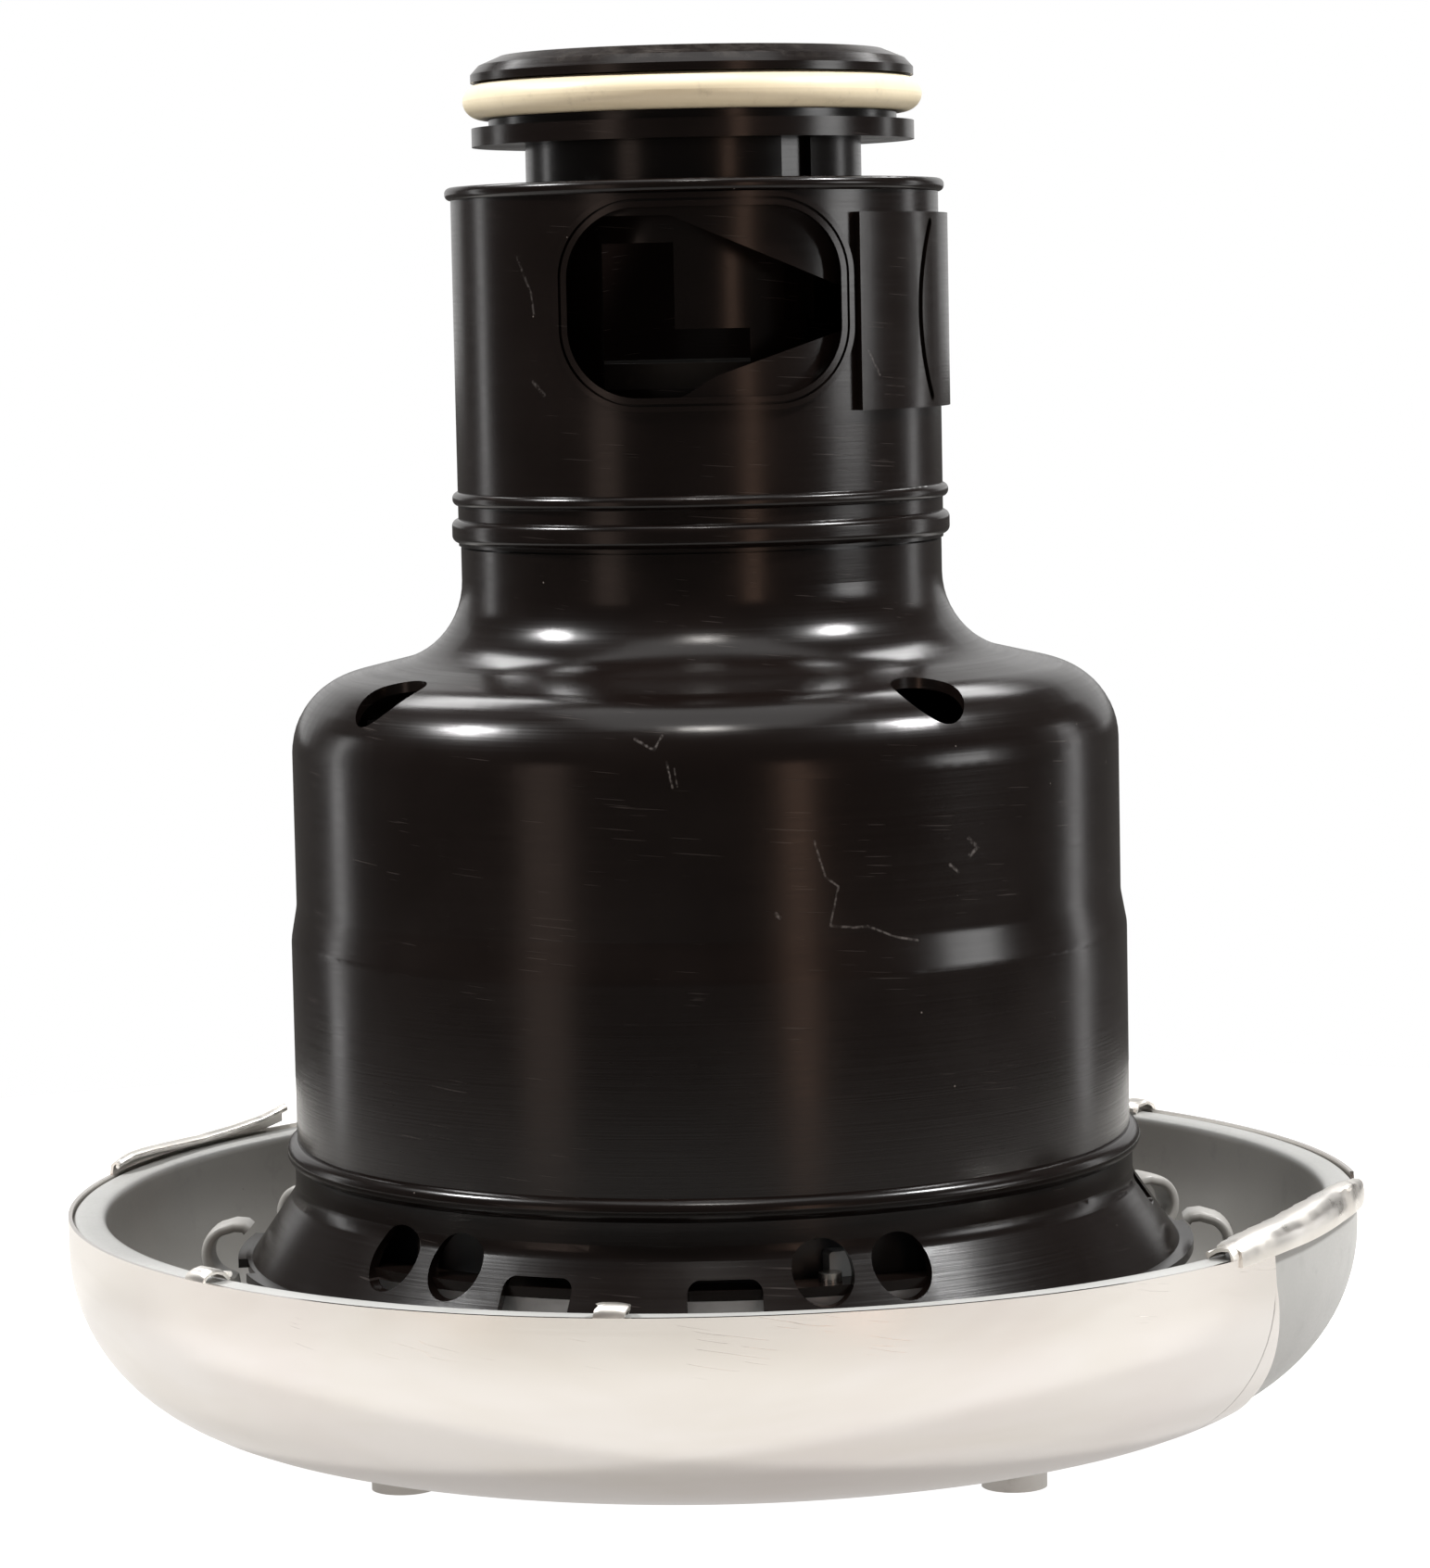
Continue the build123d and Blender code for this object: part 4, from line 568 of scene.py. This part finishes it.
folds = Shape()
TAB_LINE = ((130.9, 52.9), (130.95, 54.2), (130.4, 55.3), (129.3, 55.95), (127.8, 56.0),
            (126.2, 55.5), (125.0, 54.7), (124.5, 54.0))
for clock in TAB_CLOCKS:
    rows = []
    for share in steps(-1, 1, 8):
        drop = 0.35 * share**4
        turn = clock + TAB_HALF_ARC * share
        rows.append([at(r, turn + 0.15 * math.sin(r * 2.1), z - drop) for r, z in TAB_LINE])
    folds.sheet(rows, -0.7)
    curl = [at(124.7, clock + 1.2 * share, 54.3 + 0.2 * share) for share in steps(-1, 1, 6)]
    folds.tube(curl, 0.55)

# Torn strips over the rim: clock, inner radius, inner height, crest height, outer height.
EAR = (
    (48.5, 126.0, 54.9, 55.4, 54.2), (50, 124.6, 55.3, 56.0, 54.4), (53, 123.9, 55.6, 56.6, 54.7),
    (56, 123.5, 55.8, 57.0, 54.9), (60, 123.5, 56.1, 57.3, 55.0), (64, 124.0, 56.7, 57.8, 55.2),
    (68, 125.2, 57.3, 58.3, 55.4), (71, 126.2, 57.5, 58.5, 55.3), (74, 127.0, 57.2, 58.2, 55.0),
    (77, 127.6, 56.5, 57.2, 54.6), (80, 128.3, 55.6, 56.2, 54.3), (83, 129.3, 54.8, 55.2, 54.1))
LIP = (
    (-133, 129.6, 57.6, 58.2, 56.9), (-131.5, 128.9, 57.0, 57.4, 56.2),
    (-129, 128.4, 56.0, 56.4, 55.4), (-125, 128.0, 55.3, 55.7, 54.8),
    (-120, 127.8, 54.9, 55.4, 54.4), (-115, 127.9, 55.3, 55.8, 54.5),
    (-110, 128.3, 55.8, 56.3, 54.9), (-107, 128.9, 55.9, 56.3, 55.0),
    (-104.5, 129.8, 55.0, 55.3, 54.4))


def strip(table, ruffle):
    """A curled strip along the rim, ruffled at its inner edge, with a bead on that edge."""
    rows = []
    bead = []
    for clock in steps(table[0][0], table[-1][0], 70):
        r_in, z_in, crest, z_out = (
            table_value([(row[0], row[k]) for row in table], clock) for k in (1, 2, 3, 4))
        r_in += ruffle * (math.sin(clock * 1.9) + 0.6 * math.sin(clock * 4.7 + 1))
        width = DISH_R - r_in
        section = ((r_in, z_in), (r_in + width * 0.25, (z_in + crest) / 2 + 0.25),
                   (r_in + width * 0.5, crest), (r_in + width * 0.78, crest - 0.35),
                   (DISH_R - 0.25, z_out + 0.5), (DISH_R - 0.05, z_out - 0.7),
                   (DISH_R - 0.05, z_out - 2.2))
        rows.append([at(r, clock, z) for r, z in section])
        bead.append(at(r_in, clock, z_in - 0.1))
    folds.sheet(rows, -0.6)
    folds.tube(bead, 0.45, 8)


strip(EAR, 0.16)
strip(LIP, 0.06)
loop = [at(126.0 + 4.6 * math.sin(t), 70.5 + 3.6 * t / math.pi, 57.0 + 1.2 * math.sin(t * 1.2))
        for t in steps(0, math.pi, 20)]
folds.tube(loop, 0.65)
formed_skin = skin.build("formed_skin", "stainless", 50)
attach(formed_skin, "dish")
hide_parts("stainless_skin")
folded_edges = folds.build("folded_edges", "stainless_fold", 50)
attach(folded_edges, "dish")
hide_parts("stainless_skin")

# ---------------------------------------------------------------- formed_bowl

HOOK_CLOCKS = (-93, 87, 113, -119)
HOOK_R = 99.2
HOOK_HALF = (4.0, 1.15)     # half width and half depth of the hooks' section
LIT_DEPTH = 3.0            # painted light: the outside of the bowl and its rim take a paler copy of the grey than the inside
LIT_RIM_Z = 52.3
KNUCKLE_START = 88.0

bowl = Shape()
outer_line = resample(dish_profile(SKIN_T + 0.05, 51.9), 60)
rim = [(129.9, 52.6), (129.45, 53.05), (128.8, 53.25), (127.5, 53.3), (125.5, 53.3),
       (124.4, 53.2), (123.75, 52.85), (123.45, 52.2)]
inner_line = resample(dish_profile(DISH_R - MOUTH_R, 51.4), 60)[::-1]
section = outer_line + rim + inner_line
bowl.grid([[at(r, clock, z) for r, z in section] for clock in steps(0, 360, 300)[:-1]],
          loop_rows=True, loop_columns=True)

HOOK_LINE = [(HOOK_R, 14.5), (HOOK_R, 24), (HOOK_R, 33), (HOOK_R + 0.5, 36)]
HOOK_LINE += [(HOOK_R + 5.2 * math.sin(a), 41.5 - 5.4 * math.cos(a)) for a in steps(0.35, 2.7, 14)]
HOOK_LINE += [(HOOK_R - 0.6, 47.2), (HOOK_R - 2.6, 47.0), (HOOK_R - 3.3, 46.3)]
for clock in HOOK_CLOCKS:
    rings = []
    for i, (r, z) in enumerate(HOOK_LINE):
        r0, z0 = HOOK_LINE[max(i - 1, 0)]
        r1, z1 = HOOK_LINE[min(i + 1, len(HOOK_LINE) - 1)]
        n = Vector((z1 - z0, r0 - r1)).normalized()
        ring = []
        for t in steps(0, 2 * math.pi, 20)[:-1]:
            across = math.copysign(abs(math.cos(t)) ** 0.35, math.cos(t)) * HOOK_HALF[0]
            deep = math.copysign(abs(math.sin(t)) ** 0.6, math.sin(t)) * HOOK_HALF[1]
            turn = clock + math.degrees(across / r)
            ring.append(at(r + n[0] * deep, turn, z + n[1] * deep))
        rings.append(ring)
    bowl.capped(rings)
formed_bowl = bowl.build("formed_bowl", "grey_bowl", 40)
# second slot: the paler grey copy, painted light on the faces that catch the light
formed_bowl.data.materials.append(looks["lit_bowl"])
for face in formed_bowl.data.polygons:
    out = math.hypot(face.center.x, face.center.y) / MM
    up = face.center.z / MM
    depth = DISH_R - out
    if out < KNUCKLE_START:
        depth = DOME_R - math.hypot(out, DOME_R - up)
    elif up < KNUCKLE_Z:
        depth = min(depth, KNUCKLE_R - math.hypot(out - KNUCKLE_X, KNUCKLE_Z - up))
    if depth < LIT_DEPTH or up > LIT_RIM_Z:
        face.material_index = 1
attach(formed_bowl, "dish")
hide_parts("inner_bowl")

# ---------------------------------------------------------------- camera

CAMERA_PLACE = (0.00176, -1.010, 0.2348)
CAMERA_DOWN = 5.56          # degrees below level, and the roll of the picture
CAMERA_ROLL = -1.18

camera_data = bpy.data.cameras.new("camera")
camera_data.lens = 115
camera_data.sensor_width = 36
camera = bpy.data.objects.new("camera", camera_data)
scene.collection.objects.link(camera)
camera.location = CAMERA_PLACE
camera.rotation_mode = "QUATERNION"
pitch = Quaternion((1, 0, 0), math.radians(90 - CAMERA_DOWN))
roll = Quaternion((0, 0, 1), math.radians(CAMERA_ROLL))
camera.rotation_quaternion = pitch @ roll
camera_data.clip_start, camera_data.clip_end = 0.01, 50
scene.camera = camera

# ---------------------------------------------------------------- floor, world and lights

FLOOR_R = 0.52
FLOOR_SIDES = 96
NEAR_FAR = (0.17, 0.30)     # distances between which the floor's glow turns dimmer and warmer

floor_mesh = bpy.data.meshes.new("floor")
edge = [(FLOOR_R * math.cos(a), FLOOR_R * math.sin(a), 0)
        for a in steps(0, 2 * math.pi, FLOOR_SIDES)[:-1]]
floor_mesh.from_pydata(edge, [], [tuple(range(FLOOR_SIDES))])
floor = bpy.data.objects.new("floor", floor_mesh)
scene.collection.objects.link(floor)
floor_look = Finish("floor", (0.3, 0.298, 0.29), 0.8)
floor_look.paint(floor_look.remap(floor_look.noise(floor_look.position, 3.0), 0.3, 0.7, 0.0, 0.3),
                 (0.29, 0.287, 0.28))
to_camera = floor_look.add("LightPath").outputs["Is Camera Ray"]
reach = floor_look.vector("LENGTH", floor_look.position)
lit_floor = floor_look.remap(reach, *NEAR_FAR, 0.50, 0.37, True)
seen_floor = floor_look.math("MAXIMUM", lit_floor, to_camera)
floor_look.put(floor_look.shader.inputs["Emission Strength"], seen_floor)
far = floor_look.remap(reach, *NEAR_FAR, 0.0, 1.0, True)
glow = floor_look.mix(far, (1, 0.975, 0.965, 1), (1, 0.94, 0.87, 1))
glow = floor_look.mix(to_camera, glow, (1, 1, 1, 1))
floor_look.put(floor_look.shader.inputs["Emission Color"], glow)
floor_mesh.materials.append(floor_look.done())

world = bpy.data.worlds.new("studio")
scene.world = world
world.use_nodes = True
wt = world.node_tree
wt.nodes.clear()


def background(colour, strength):
    node = wt.nodes.new("ShaderNodeBackground")
    node.inputs["Color"].default_value = (*colour, 1)
    node.inputs["Strength"].default_value = strength
    return node


seen = background((1, 1, 1), 1.0)
lit = background((1.0, 0.95, 0.90), 0.11)
path = wt.nodes.new("ShaderNodeLightPath")
blend = wt.nodes.new("ShaderNodeMixShader")
out = wt.nodes.new("ShaderNodeOutputWorld")
wt.links.new(path.outputs["Is Camera Ray"], blend.inputs[0])
wt.links.new(lit.outputs[0], blend.inputs[1])
wt.links.new(seen.outputs[0], blend.inputs[2])
wt.links.new(blend.outputs[0], out.inputs[0])


AIM_HEIGHT = 0.14


def softbox(name, azimuth, elevation, distance, size, power, colour=(1, 1, 1)):
    """Area light aimed at the middle of the object. Azimuth 0 is in front, towards +X at 90."""
    data = bpy.data.lights.new(name, "AREA")
    data.shape = "RECTANGLE"
    data.size, data.size_y = size
    data.energy = power
    data.color = colour
    lamp = bpy.data.objects.new(name, data)
    scene.collection.objects.link(lamp)
    a, e = math.radians(azimuth), math.radians(elevation)
    away = Vector((math.sin(a) * math.cos(e), -math.cos(a) * math.cos(e), math.sin(e)))
    lamp.location = Vector((0, 0, AIM_HEIGHT)) + away * distance
    lamp.rotation_mode = "QUATERNION"
    lamp.rotation_quaternion = away.to_track_quat("Z", "Y")
    lamp.visible_camera = False


# name, azimuth, elevation, distance, size, power and colour
LIGHTS = (
    ("key_left", -88, 45, 1.6, (0.22, 0.22), 30),
    ("key_right", 79, 48, 1.6, (0.22, 0.22), 30),
    ("front_top", 0, 66, 1.7, (0.2, 0.2), 7, (1, 0.97, 0.93)),
    ("front_warm", 24, -2, 2.2, (0.22, 1.5), 3.5, (1, 0.62, 0.45)),
    ("left_warm", -44, -2, 2.2, (0.5, 1.5), 3.0, (1, 0.74, 0.62)),
    ("right_edge", 120, 0, 2.0, (0.2, 1.2), 2.5),
    ("left_edge", -120, 0, 2.0, (0.2, 1.2), 2.5),
    ("bowl_fill", 74, 6, 1.6, (0.5, 0.3), 4),
    ("overhead", 0, 89, 1.6, (1.2, 1.2), 9),
    ("backdrop", 180, 14, 2.0, (3.0, 0.9), 6),
    ("rear_left", -150, 45, 1.8, (0.5, 0.5), 8),
    ("rear_right", 150, 45, 1.8, (0.5, 0.5), 8),
)
for light in LIGHTS:
    softbox(*light)
scene.view_settings.view_transform = "Standard"
scene.view_settings.look = "None"
